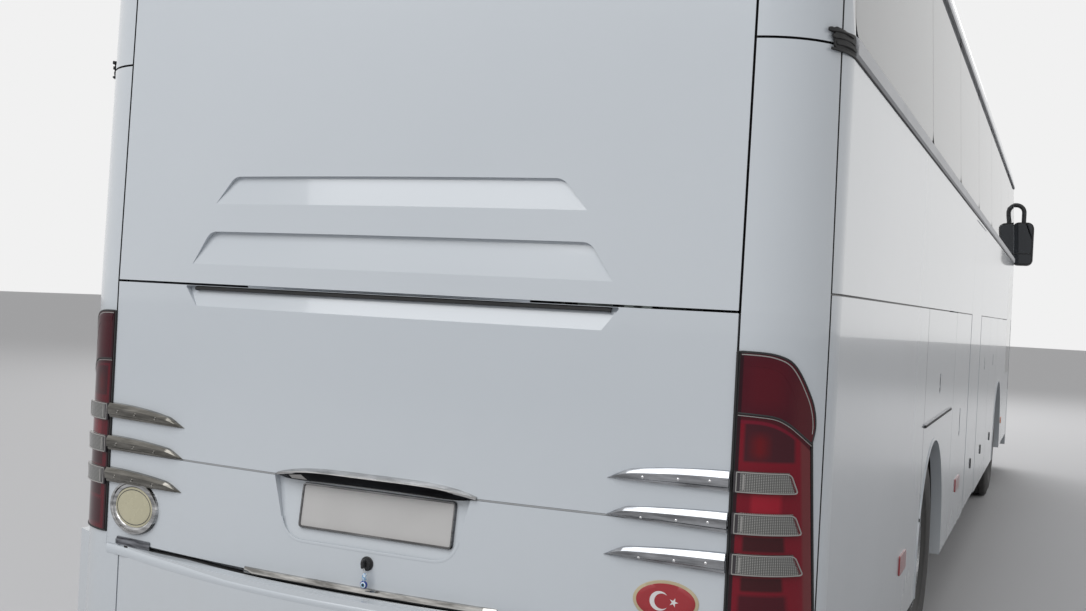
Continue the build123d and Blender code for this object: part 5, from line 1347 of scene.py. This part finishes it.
# The tag's bright and dark streaks and its pale faces that look down are painted reflections.
tag_chrome = plated(
    "tag_chrome", (0.34, 0.35, 0.38, 1), (0.045, 0.047, 0.055, 1), (0.55, 0.55, 0.56, 1), -0.3
)
tag_corners = [(0.840, 0.7765), (0.842, 0.8035), (1.000, 0.8035), (1.000, 0.7765)]
tag_outline = rounded(tag_corners, (0.003, 0.005, 0.006, 0.004))
badge_tag = keep_edges(joined("corner_tag", [plaque(tag_outline, tail_lay, 0.006, 0.002)], tag_chrome), 40)
gold_print = enamel("gold_print", (0.50, 0.42, 0.27, 1), 0.3)
gold_oval = plaque(oval_outline(0.088, 0.055, sticker_centre), tail_lay, 0.0022, 0.0010)
sticker_gold = keep_edges(joined("sticker_rim", [gold_oval], gold_print), 40)
red_print = enamel("red_print", (0.34, 0.016, 0.024, 1), 0.15)
red_oval = plaque(oval_outline(0.079, 0.047, sticker_centre), tail_lay, 0.0034, 0.0006, 0.0012)
sticker_red = keep_edges(joined("sticker_field", [red_oval], red_print), 40)


def prism(outline, lay, low, high):
    """Points and faces of a flat slab between two heights, from a closed outline that may be hollow-sided."""
    count = len(outline)
    verts = [lay(*point, high) for point in outline] + [lay(*point, low) for point in outline]
    faces = [tuple(range(count)), tuple(range(2 * count - 1, count - 1, -1))]
    faces += [
        (index, index + count, (index + 1) % count + count, (index + 1) % count) for index in range(count)
    ]
    return verts, faces


def sticker_arc(beside, radius, turns):
    """Points at some turns of a circle on the sticker, which stands beside the sticker's middle."""
    middle = sticker_centre[0] + beside
    turns = [math.radians(turn) for turn in turns]
    return [(middle + radius * math.cos(turn), sticker_centre[1] + radius * math.sin(turn)) for turn in turns]


crescent = sticker_arc(0.016, 0.026, range(-142, 143, 12)) + sticker_arc(0.009, 0.0205, range(126, -127, -12))
star = []
for point in range(10):
    star += sticker_arc(-0.022, 0.0048 if point % 2 else 0.0125, [36 * point + 180])
white_print = enamel("white_print", (0.72, 0.70, 0.70, 1))
figures = [prism(outline, tail_lay, 0.0030, 0.0046) for outline in (crescent, star)]
sticker_figures = joined("sticker_figures", figures, white_print, smooth=False)
for piece, body, slot in (
    (badge_rim, "engine_lid", "bright_trim"), (badge_disc, "engine_lid", "plate_grey"),
    (badge_line, "engine_lid", "dark_plastic"), (badge_tag, "coach", "bright_trim"),
    (sticker_gold, "engine_lid", "plate_grey"), (sticker_red, "engine_lid", "lamp_red"),
    (sticker_figures, "engine_lid", "plate_grey"),
):
    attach(piece, body)


# Flank fittings: black locks sunk in their recesses, red side reflectors, sill latches and an
# orange marker screwed on low down, and a black drip strip with a bright edge over the rear arch.
belt_z = 2.386
lean = math.radians(3.0)


def flank_spot(side, y, z, out=0.0):
    """A point on a flank, which turns round the tail's corner, and the way out of the skin there."""
    past = max(0.0, y - corner_centre[1])
    broad = math.sqrt(corner_radius * corner_radius - past * past)
    leaning = lean if z > belt_z else 0.0
    level = math.cos(leaning)
    way = Vector((side * broad * level, past * level, corner_radius * math.sin(leaning))) / corner_radius
    reach = corner_centre[0] + broad - (z - belt_z) * math.tan(leaning)
    return Vector((side * reach, y, z)) + way.normalized() * out, way.normalized()


def flank_lay(side, sink=0.0):
    """How to lay plates on a flank, or on the floor of a recess in it."""
    return lambda along, up, out: flank_spot(side, along, up, out - sink)[0]


recess_depth = 0.009
barrel_rows = [(0.0, 0.0), (0.0, 0.010), (0.0085, 0.010), (0.0095, 0.008), (0.0095, 0.0)]
# Body, distance from the tail, and foot and top of each recess.
locks = (
    ("coach", 3.278, 1.290, 1.390), ("flap_{}_rear", 4.650, 0.960, 1.130),
    ("flap_{}_middle", 6.861, 1.290, 1.390), ("flap_{}_front", 8.054, 1.290, 1.390),
)
for name, side in both_sides:
    for number, (body, station, low, high) in enumerate(locks):
        y = face_y - station
        middle, tall = (low + high) / 2, high - low
        floor = flank_lay(side, recess_depth)
        shapes = [
            plaque(box_outline(y, middle, 0.034, tall - 0.010, 0.008), floor, 0.0045, 0.0015),
            plaque(box_outline(y, middle + 0.012, 0.022, tall * 0.45, 0.006), floor, 0.0080, 0.0020, 0.001),
            turned(barrel_rows, floor(y, low + 0.020, 0.0), (side, 0, 0), 20),
        ]
        lock = keep_edges(joined(f"panel_lock_{name}_{number}", shapes, black_plastic), 40)
        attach(lock, body.format(name))

reflector_red = enamel("reflector_red", (0.30, 0.035, 0.040, 1), 0.15)
marker_orange = enamel("marker_orange", (0.62, 0.14, 0.015, 1), 0.15)
# Name, body, distance from the tail, height, width, tallness, material and slot.
reflectors = (
    ("reflector_rear", "coach", 2.015, 0.671, 0.190, 0.078, reflector_red, "lamp_red"),
    ("reflector_arch", "flap_{}_rear", 4.660, 0.671, 0.280, 0.078, reflector_red, "lamp_red"),
    ("sill_latch_middle", "flap_{}_middle", 6.820, 0.675, 0.040, 0.070, gasket, "dark_plastic"),
    ("sill_latch_front", "flap_{}_front", 8.020, 0.675, 0.040, 0.070, gasket, "dark_plastic"),
    ("side_marker", "coach", 10.070, 0.671, 0.150, 0.060, marker_orange, "lamp_red"),
)
for name, side in both_sides:
    for label, body, station, height, width, tall, material, slot in reflectors:
        outline = box_outline(face_y - station, height, width, tall, 0.010)
        plate = plaque(outline, flank_lay(side), 0.0060, 0.0018, 0.0008)
        piece = keep_edges(joined(f"{label}_{name}", [plate], material), 40)
        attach(piece, body.format(name))
    for label, height, half, rise, material, slot in (
        ("arch_drip", 1.172, 0.006, 0.010, gasket, "dark_plastic"),
        ("arch_drip_edge", 1.181, 0.0028, 0.008, trim_alloy, "trim_aluminium"),
    ):
        spots = [flank_spot(side, face_y - station, height)[0] for station in (2.62, 3.92)]
        strip = swept(spots, [Vector((side, 0, 0))] * 2, half, rise)
        piece = keep_edges(joined(f"{label}_{name}", [strip], material), 40)
        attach(piece, "coach")


# Belt line: black rubber pressed in under the trim, and a ribbed plastic end cap where the trim
# starts at the tail's corner.
cap_y = face_y - 0.262
for name, side in both_sides:
    last = face_y - (10.28 if side > 0 else 11.38)
    line = [
        flank_spot(side, y, 2.3545)
        for y in (*[face_y - 0.190 - 0.016 * step for step in range(10)], last)
    ]
    pieces = [swept(*zip(*line), 0.0035, 0.0035)]
    for step, height in enumerate((2.372, 2.388, 2.404)):
        rib = box_outline(cap_y + 0.012 * step, height, 0.115, 0.011, 0.004)
        pieces.append(plaque(rib, flank_lay(side), 0.0045, 0.002))
    cap = box_outline(cap_y, belt_z, 0.125, 0.056, 0.008)
    pieces.append(plaque(cap, flank_lay(side, 0.0005), 0.0020, 0.0010))
    belt_seal = keep_edges(joined(f"belt_seal_{name}", pieces, gasket), 40)
    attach(belt_seal, "coach")


# Wheel hubs: a turned steel cap on each hub, held by a ring of eight small bolts. The front one
# is plated, and the rear one, over the drive flange, is painted black.
flange_rows = [
    (-0.004, 0.0), (-0.004, 0.078), (0.006, 0.078), (0.010, 0.074), (0.012, 0.050), (0.022, 0.044),
    (0.030, 0.034), (0.032, 0.0),
]
bolt_rows = [(0.0, 0.0), (0.0, 0.009), (0.008, 0.009), (0.010, 0.007), (0.010, 0.0)]
for end, axle_y, out, material, slot in (
    ("front", front_axle_y, 0.118, chrome, "bright_trim"),
    ("rear", rear_axle_y, 0.092, axle_black, "axle_paint"),
):
    for name, side in both_sides:
        hub_x = side * (wheel_x + out)
        shapes = [turned(flange_rows, (hub_x, axle_y, wheel_z), (side, 0, 0), 40)]
        shapes += bolt_ring(bolt_rows, (hub_x + side * 0.010, axle_y, wheel_z), side, 8, 0.064)
        cap = keep_edges(joined(f"hub_cap_{end}_{name}", shapes, material), 35)
        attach(cap, f"wheel_{end}_{name}")


# Mirror glasses: silvered plates bedded in the backs of the heads, which face the tail, a tall one
# over a small wide-angle one, with a nearly black tone that is a painted dark reflection.
def darkened_silver():
    """Silvered glass, coloured nearly black as a painted dark reflection."""
    material, tree, shader = new_material("mirror_dark_reflection")
    skin = use_group(tree, paint_skin, Peel=0.0, Wave=0.04)
    # Nearly black tones, a painted dark reflection.
    tone = mixed(tree, skin["Patch"], (0.035, 0.037, 0.040, 1), (0.060, 0.063, 0.068, 1))
    surfaced(tree, shader, tone, calc(tree, "MULTIPLY", skin["Patch"], 0.03), skin["Normal"])
    shader.inputs["Metallic"].default_value = 1.0
    return material


mirror_dark_reflection = darkened_silver()
mirror_x, mirror_z = 1.33, 2.625
mirror_back_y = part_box("mirrors")[0].y + 0.150


def mirror_lay(across, up, out):
    """A point over the backs of the mirror heads."""
    return Vector((across, mirror_back_y + out, up))


for name, side in both_sides:
    panes = []
    for middle, tall in ((mirror_z + 0.062, 0.350), (mirror_z - 0.180, 0.110)):
        panes.append(
            plaque(box_outline(side * mirror_x, middle, 0.196, tall, 0.03), mirror_lay, 0.004, 0.0015)
        )
    glass = keep_edges(joined(f"mirror_glass_{name}", panes, mirror_dark_reflection), 40)
    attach(glass, "coach")


# Middle door latch: the flaps' small black plastic latch once more, screwed low down on the
# flush leaf of the middle door.
latch_outline = box_outline(face_y - 5.770, 0.675, 0.040, 0.070, 0.010)
door_latch = keep_edges(
    joined("door_latch", [plaque(latch_outline, flank_lay(-1), 0.006, 0.0018)], gasket), 40
)
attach(door_latch, "door_middle")


# Wiper blades: rubber lips in black steel carriers, pressed to the windscreen by the sprung
# arms.
nose_skin = skin_of("windscreen", "front_mask")
wiper_foot_z = 1.50
# Both ends from the arm's foot, half width, rise and lift over the glass, of a lip and its carrier.
blade_parts = (
    ((-0.10, 0.10), (-0.62, 0.70), 0.007, 0.012, 0.0),
    ((-0.24, 0.26), (-0.50, 0.56), 0.010, 0.010, 0.011),
)
for number, foot_x in enumerate((-0.48, 0.48)):
    blade_shapes = []
    for *ends, half, rise, lift in blade_parts:
        line = filled_in([(foot_x + across, wiper_foot_z + up) for across, up in ends], 0.06)
        spots, ways = [], []
        for across, height in line:
            spot, way = facing_skin(nose_skin, (across, -9, height), (0, 1, 0))
            if spot:
                spots.append(spot + way * lift)
                ways.append(way)
        blade_shapes.append(swept(spots, ways, half, rise))
    blade = keep_edges(joined(f"wiper_blade_{number}", blade_shapes, gasket), 40)
    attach(blade, "coach")


# Headlamps: clear moulded covers over two bright bowls each, with an orange indicator at the
# outer end, bonded into the bumper.
headlamp_z = 0.70


def headlamp_material():
    """A clear ribbed cover with two round bowls and an indicator behind it."""
    material, tree, shader = new_material("headlamp_cover")
    coords, x, y, z = place(tree)
    across = calc(tree, "ABSOLUTE", x)
    up = calc(tree, "SUBTRACT", z, headlamp_z)
    skin = use_group(tree, surface_grain, Scale=60.0, Patch_Scale=12.0, Strength=0.03, Depth=0.001)
    colour = mixed(tree, skin["Patch"], (0.16, 0.165, 0.17, 1), (0.24, 0.245, 0.25, 1))
    for middle, radius in ((0.745, 0.082), (0.900, 0.072)):
        reach = span(tree, calc(tree, "SUBTRACT", across, middle), up)
        for share, shade in (
            (1.0, (0.72, 0.73, 0.74, 1)), (0.88, (0.38, 0.39, 0.40, 1)), (0.5, (0.80, 0.81, 0.80, 1)),
            (0.22, (0.20, 0.20, 0.21, 1)),
        ):
            colour = mixed(tree, calc(tree, "LESS_THAN", reach, radius * share), colour, shade)
    colour = mixed(tree, calc(tree, "GREATER_THAN", across, 0.992), colour, (0.62, 0.16, 0.02, 1))
    surfaced(tree, shader, colour, calc(tree, "MULTIPLY_ADD", skin["Patch"], 0.08, 0.03), skin["Normal"])
    shader.inputs["Coat Weight"].default_value = 1.0
    return material


dress(headlamp_material(), "headlamps")


# Roof units: moulded covers over the cooling unit and hatches, with black louvres in the sides
# of the large one and a seal round each hatch.
roof_skin = skin_of("roof_units", "roof")
louvre_z, louvre_pitch = 3.632, 0.018
louvre_starts = (-6.85, -6.20, -5.55)
louvres = []
for side in (-1, 1):
    for row in range(5):
        for start in louvre_starts:
            spots, ways = [], []
            for step in range(8):
                spot = (side * 1.6, face_y + start + step * 0.085, louvre_z + louvre_pitch * row)
                spot, way = facing_skin(roof_skin, spot, (-side, 0, 0))
                if spot:
                    spots.append(spot)
                    ways.append(way)
            if len(spots) > 1:
                louvres.append(swept(spots, ways, 0.005, 0.004))
roof_louvres = keep_edges(joined("roof_louvres", louvres, black_plastic), 40)
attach(roof_louvres, "coach")


# Driver's instruments: a hooded cluster with dials behind the steering wheel, and a row of
# switches on the desk.
dial_face = enamel("dial_face", (0.02, 0.02, 0.022, 1), 0.3)
dial_mark = enamel("dial_mark", (0.70, 0.70, 0.68, 1), 0.4)
desk_skin = skin_of("dashboard")
dials, marks, switches = [], [], []
for across, radius in ((0.50, 0.055), (0.64, 0.038), (0.78, 0.055)):
    spot, way = facing_skin(desk_skin, (across, -4.0, 1.675), (0, -1, 0))
    if spot:
        dial_rows = [
            (-0.004, 0.0), (-0.004, radius), (0.008, radius), (0.011, radius - 0.004),
            (0.006, radius - 0.008), (0.006, 0.0),
        ]
        dials.append(turned(dial_rows, spot, way, 36))
        level = way.cross(Vector((1, 0, 0))).normalized()
        for tick in range(11):
            turn = math.radians(-120 + 24 * tick)
            out = Vector((math.sin(turn), 0, 0)) + level * -math.cos(turn)
            ends = [spot + way * 0.0065 + out * (radius - inset) for inset in (0.014, 0.022)]
            marks.append(swept(ends, [way] * 2, 0.0012, 0.0006, 0.0005))
switch_outline = box_outline(0.0, 0.0, 0.028, 0.040, 0.003, 3)
for column in range(8):
    spot, way = facing_skin(desk_skin, (0.36 - 0.04 * column, -4.0, 1.66), (0, -1, 0))
    if spot:
        level = way.cross(Vector((1, 0, 0))).normalized()

        def desk_lay(across, up, out):
            """A point over the desk, measured from the switch's middle."""
            return spot + Vector((across, 0, 0)) + level * up + way * out

        switches.append(plaque(switch_outline, desk_lay, 0.005, 0.0015, 0.001))
for label, shapes, material, slot in (
    ("desk_dials", dials, dial_face, "dark_plastic"),
    ("dial_marks", marks, dial_mark, "pale_moulding"),
    ("desk_switches", switches, black_plastic, "dark_plastic"),
):
    piece = keep_edges(joined(label, shapes, material), 40)
    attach(piece, "coach")


# Chairs: paired passenger chairs in woven moquette over foam, sewn in channels, with moulded
# rear shells and folding armrests, on steel legs at the aisle and a rail at the wall. The
# driver's wider chair stands on a pedestal with rubber bellows.
def pillow(width, length, thickness, channels, triangles=1500):
    """Points and faces of a foam pad blown up in its sewn cover.

    Its width lies along x, its length along y, and its face looks towards z. A channel is (axis, place).
    """
    voxel, swell, groove = 0.011, 0.013, 0.007
    half = (width / 2 - swell * 0.5, length / 2 - swell * 0.5, thickness / 2 - swell)
    mesh = bpy.data.meshes.new("pad")
    shape = bmesh.new()
    bmesh.ops.create_cube(shape, size=2.0)
    for vertex in shape.verts:
        vertex.co = Vector([part * size for part, size in zip(vertex.co, half)])
    bmesh.ops.bevel(shape, geom=shape.edges, offset=min(half) * 0.55, segments=3, affect="EDGES")
    shape.to_mesh(mesh)
    shape.free()
    pad = bpy.data.objects.new("pad", mesh)
    bpy.context.scene.collection.objects.link(pad)
    remesh = pad.modifiers.new("remesh", "REMESH")
    remesh.mode, remesh.voxel_size = "VOXEL", voxel
    mesh = bpy.data.meshes.new_from_object(pad.evaluated_get(bpy.context.evaluated_depsgraph_get()))
    pad.modifiers.clear()
    pad.data = mesh
    before = [vertex.co.copy() for vertex in mesh.vertices]
    cloth = pad.modifiers.new("cover", "CLOTH")
    cloth.settings.use_pressure = True
    cloth.settings.uniform_pressure_force = 4.0
    cloth.settings.effector_weights.gravity = 0.0
    for frame_number in range(1, 21):
        bpy.context.scene.frame_set(frame_number)
    blown = pad.evaluated_get(bpy.context.evaluated_depsgraph_get()).data
    after = [vertex.co.copy() for vertex in blown.vertices]
    pad.modifiers.clear()
    bpy.context.scene.frame_set(1)
    for vertex, start, end in zip(mesh.vertices, before, after):
        move = end - start
        vertex.co = start + move * min(1.0, swell / max(move.length, 1e-6))
    for vertex in mesh.vertices:
        for axis, spot in channels:
            near = 1 - abs(vertex.co[axis] - spot) / (1.6 * voxel)
            if near > 0 and vertex.co.z > 0:
                vertex.co.z -= groove * near * (2 - near)
    thin = pad.modifiers.new("thin", "DECIMATE")
    thin.ratio = min(1.0, triangles / (2 * len(mesh.polygons)))
    final = bpy.data.meshes.new_from_object(pad.evaluated_get(bpy.context.evaluated_depsgraph_get()))
    points = [vertex.co.copy() for vertex in final.vertices]
    faces = [tuple(face.vertices) for face in final.polygons]
    bpy.data.objects.remove(pad)
    return points, faces


def moved(shape, matrix):
    """A shape in another place."""
    points, faces = shape
    return [matrix @ point for point in points], faces


def moquette_material():
    """Cut-pile moquette: dark blue-grey with a woven rib, small lighter flecks and rubbed patches."""
    material, tree, shader = new_material("chair_moquette")
    coords, x, y, z = place(tree)
    skin = use_group(tree, surface_grain, Scale=900.0, Patch_Scale=9.0, Strength=0.6, Depth=0.0012)
    rib = add_node(tree, "TexWave", {"Vector": coords, "Scale": 90.0, "Distortion": 1.5})
    fleck = add_node(tree, "TexVoronoi", {"Vector": coords, "Scale": 70.0})
    spots = calc(tree, "LESS_THAN", fleck.outputs["Distance"], 0.22)
    tone = mixed(tree, skin["Patch"], (0.022, 0.030, 0.060, 1), (0.045, 0.058, 0.105, 1))
    tone = mixed(tree, calc(tree, "MULTIPLY", rib.outputs["Fac"], 0.35), tone, (0.012, 0.016, 0.035, 1))
    tone = mixed(tree, calc(tree, "MULTIPLY", spots, 0.7), tone, (0.16, 0.17, 0.20, 1))
    surfaced(tree, shader, tone, calc(tree, "MULTIPLY_ADD", skin["Patch"], 0.1, 0.82), skin["Normal"])
    shader.inputs["Sheen Weight"].default_value = 0.35
    return material


moquette = moquette_material()
leg_steel = coated_metal("chair_leg_steel", (0.10, 0.10, 0.11, 1), 0.4, film=0.15)
floor_z = 1.42
platform_z = 1.12
chair_width = 0.44
chair_pitch = 0.46
wall_x = 1.225
chair_x = wall_x - 0.025 - chair_width / 2
leg_x = wall_x - 0.025 - chair_width - 0.01
rake = math.atan2(0.21, 0.73)
seat_pad = pillow(0.430, 0.392, 0.112, ((0, -0.125), (0, 0.125), (1, -0.120)))
back_pad = pillow(
    0.430, 0.765, 0.104, ((0, -0.125), (0, 0.125), (1, 0.215), (1, 0.030), (1, -0.140)), triangles=2000
)
# Distances of the rows from the tail. The middle door's stairs take two rows on the right.
rows_left = [0.70 + 0.78 * row for row in range(12)]
rows_right = [station for station in rows_left if not 5.0 < station < 6.5]


def chair_parts(x, y, floor, rise, widen=1.0):
    """Cushion and back of a chair facing the nose, and how to lay pieces on the rear of its back."""
    stretch = Matrix.Diagonal((widen, 1, 1, 1))
    seat = (
        Matrix.Translation((x, y - 0.272, floor + rise + 0.400))
        @ Matrix.Rotation(math.radians(-2.5), 4, "X")
    )
    back = (
        Matrix.Translation((x, y + 0.046, floor + rise + 0.767))
        @ Matrix.Rotation(math.radians(90) - rake, 4, "X")
    )

    def rear(across, up, out):
        """A point over the rear of the back."""
        return back @ Vector((across, up, -0.046 - out))

    return moved(seat_pad, seat @ stretch), moved(back_pad, back @ stretch), rear


def armrest(x, y, floor, rise):
    """A padded armrest on a steel arm beside a chair."""
    rest = rounded([(-0.330, 0.615), (-0.330, 0.655), (-0.030, 0.665), (-0.030, 0.625)], (0.018,) * 4)
    arm = rounded([(-0.085, 0.40), (-0.050, 0.63), (-0.010, 0.63), (-0.045, 0.40)], (0.006,) * 4)

    def beside(along, up, out):
        """A point beside the chair."""
        return Vector((x + out, y + along, floor + rise + up))

    return [plaque(rest, beside, 0.022, 0.008, sink=0.022), plaque(arm, beside, 0.007, 0.002, sink=0.007)]


shell_outline = box_outline(0.0, 0.0075, 0.410, 0.715, 0.05)
pocket_outline = rounded([(-0.165, -0.190), (-0.160, 0.045), (0.160, 0.045), (0.165, -0.190)], (0.03,) * 4)
leg_outline = [
    (-0.385, 0.0), (-0.385, 0.018), (-0.290, 0.050), (-0.262, 0.280), (-0.385, 0.315), (-0.385, 0.338),
    (-0.070, 0.338), (-0.070, 0.315), (-0.195, 0.280), (-0.167, 0.050), (-0.072, 0.018), (-0.072, 0.0),
]
leg_lay = {
    -1: lambda along, up, out: Vector((out - leg_x, along, floor_z + up)),
    1: lambda along, up, out: Vector((out + leg_x, along, floor_z + up)),
}
rail_rows = ((0.0, 0.0), (0.0, 0.016), (0.66, 0.016), (0.66, 0.0))
cushions, backs, shells, pockets, rests, legs = [], [], [], [], [], []
for side, rows in ((1, rows_left), (-1, rows_right)):
    for station in rows:
        y = face_y - station
        for index in range(2):
            x = side * (chair_x - index * chair_pitch)
            seat, back, rear = chair_parts(x, y, floor_z, 0.0)
            cushions.append(seat)
            backs.append(back)
            shells.append(plaque(shell_outline, rear, 0.010, 0.006, 0.004, 3))
            pockets.append(plaque(pocket_outline, rear, 0.022, 0.008, 0.004, 3))
        rests += armrest(side * (chair_x - chair_pitch / 2), y, floor_z, 0.0)
        rests += armrest(side * (chair_x - 1.5 * chair_pitch + 0.014), y, floor_z, 0.0)
        leg = [(y + along, up) for along, up in leg_outline]
        legs.append(prism(leg, leg_lay[side], -0.024, 0.024))
        for along in (-0.330, -0.125):
            legs.append(
                turned(rail_rows, (side * (leg_x - 0.185), y + along, floor_z + 0.325), (side, 0, 0), 12)
            )

driver_x, driver_y, driver_rise = 0.64, face_y - 10.43, 0.06
driver_widen = 0.5 / chair_width
seat, back, rear = chair_parts(driver_x, driver_y, platform_z, driver_rise, driver_widen)
driver_shell = plaque(shell_outline, rear, 0.010, 0.006, 0.004, 3)
# The bellows' rows as (height, radius): six folds between two discs.
bellows_rows = [(0.0, 0.0), (0.0, 0.150)]
for fold in range(6):
    bellows_rows += [(0.03 + fold * 0.05, 0.120), (0.055 + fold * 0.05, 0.150)]
bellows_rows += [(0.345, 0.120), (0.345, 0.0)]
driver_bellows = turned(bellows_rows, (driver_x, driver_y - 0.23, platform_z), (0, 0, 1), 40)
for label, shapes, material, slot, node in (
    ("passenger_cushions", cushions, moquette, "chair_fabric", "passenger_chairs"),
    ("passenger_backs", backs, moquette, "chair_fabric", "passenger_chairs"),
    ("driver_cushion", [seat], moquette, "chair_fabric", "driver_chair"),
    ("driver_back", [back], moquette, "chair_fabric", "driver_chair"),
    ("chair_shells", shells, pale_plastic, "pale_moulding", "passenger_chairs"),
    ("chair_pockets", pockets, black_plastic, "dark_plastic", "passenger_chairs"),
    ("chair_armrests", rests, black_plastic, "dark_plastic", "passenger_chairs"),
    ("chair_legs", legs, leg_steel, "frame_paint", "passenger_chairs"),
    ("driver_shell", [driver_shell], black_plastic, "dark_plastic", "driver_chair"),
    ("driver_bellows", [driver_bellows], gasket, "dark_plastic", "driver_chair"),
):
    piece = keep_edges(joined(label, shapes, material), 50)
    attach(piece, "coach")
    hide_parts(node)


# Stage: a pale, finely mottled floor and a white world, lit by two soft lamps, with the camera
# where the photograph was taken from.
floor_mesh = bpy.data.meshes.new("studio_floor")
floor_mesh.from_pydata([(-90, -90, 0), (90, -90, 0), (90, 90, 0), (-90, 90, 0)], [], [(0, 1, 2, 3)])
studio_floor = bpy.data.objects.new("studio_floor", floor_mesh)
bpy.context.scene.collection.objects.link(studio_floor)
floor_material, floor_tree, floor_shader = new_material("studio_floor")
floor_noise = add_node(floor_tree, "TexNoise", {"Scale": 0.7, "Detail": 4.0})
floor_tone = mixed(floor_tree, floor_noise.outputs["Fac"], (0.50, 0.50, 0.51, 1), (0.56, 0.56, 0.57, 1))
feed(floor_tree, floor_shader.inputs["Base Color"], floor_tone)
floor_shader.inputs["Roughness"].default_value = 0.8
floor_mesh.materials.append(floor_material)

world = bpy.data.worlds.new("studio")
bpy.context.scene.world = world
world.use_nodes = True
world_tree = world.node_tree
backdrop = world_tree.nodes["Background"]
backdrop.inputs["Color"].default_value = (1, 1, 1, 1)
# The world is brighter to the camera and in what glossy and clear surfaces show than as a lamp.
rays = add_node(world_tree, "LightPath").outputs
seen = calc(world_tree, "MAXIMUM", rays["Is Glossy Ray"], rays["Is Transmission Ray"])
seen = calc(world_tree, "MAXIMUM", rays["Is Camera Ray"], seen)
feed(world_tree, backdrop.inputs["Strength"], calc(world_tree, "MULTIPLY_ADD", seen, 0.33, 0.55))


def soft_lamp(name, spot, aim, size, power):
    """A soft lamp that looks at a point."""
    light = bpy.data.lights.new(name, "AREA")
    light.shape = "RECTANGLE"
    light.size, light.size_y = size
    light.energy = power
    lamp = bpy.data.objects.new(name, light)
    lamp.location = spot
    lamp.rotation_euler = (Vector(aim) - Vector(spot)).to_track_quat("-Z", "Y").to_euler()
    bpy.context.scene.collection.objects.link(lamp)


soft_lamp("sky_panel", (2.5, 15, 11), (0, 3, 1), (14, 10), 1100)
soft_lamp("front_panel", (5, -14, 10), (0, -3, 1.5), (14, 8), 1200)

# The camera as it was solved from the photograph: focal length in pixels, place and turn.
focal_pixels, frame_width = 1170.8, 1086
sensor_width = 36.0
camera_spot = (-1.829, 8.992, 1.650)
yaw, pitch, roll = math.radians(24.01), math.radians(-0.20), math.radians(2.94)
ahead = Vector((math.sin(yaw), -math.cos(yaw), 0))
right = Vector((-math.cos(yaw), -math.sin(yaw), 0))
up = Vector((0, 0, 1))
ahead, up = ahead * math.cos(pitch) + up * math.sin(pitch), up * math.cos(pitch) - ahead * math.sin(pitch)
right, up = right * math.cos(roll) + up * math.sin(roll), up * math.cos(roll) - right * math.sin(roll)
camera_data = bpy.data.cameras.new("photo_camera")
camera_data.sensor_width = sensor_width
camera_data.lens = sensor_width * focal_pixels / frame_width
camera_data.clip_end = 300
camera = bpy.data.objects.new("photo_camera", camera_data)
bpy.context.scene.collection.objects.link(camera)
turn = Matrix((right, up, -ahead)).transposed().to_4x4()
camera.matrix_world = Matrix.Translation(camera_spot) @ turn
bpy.context.scene.camera = camera
bpy.context.scene.view_settings.view_transform = "Standard"
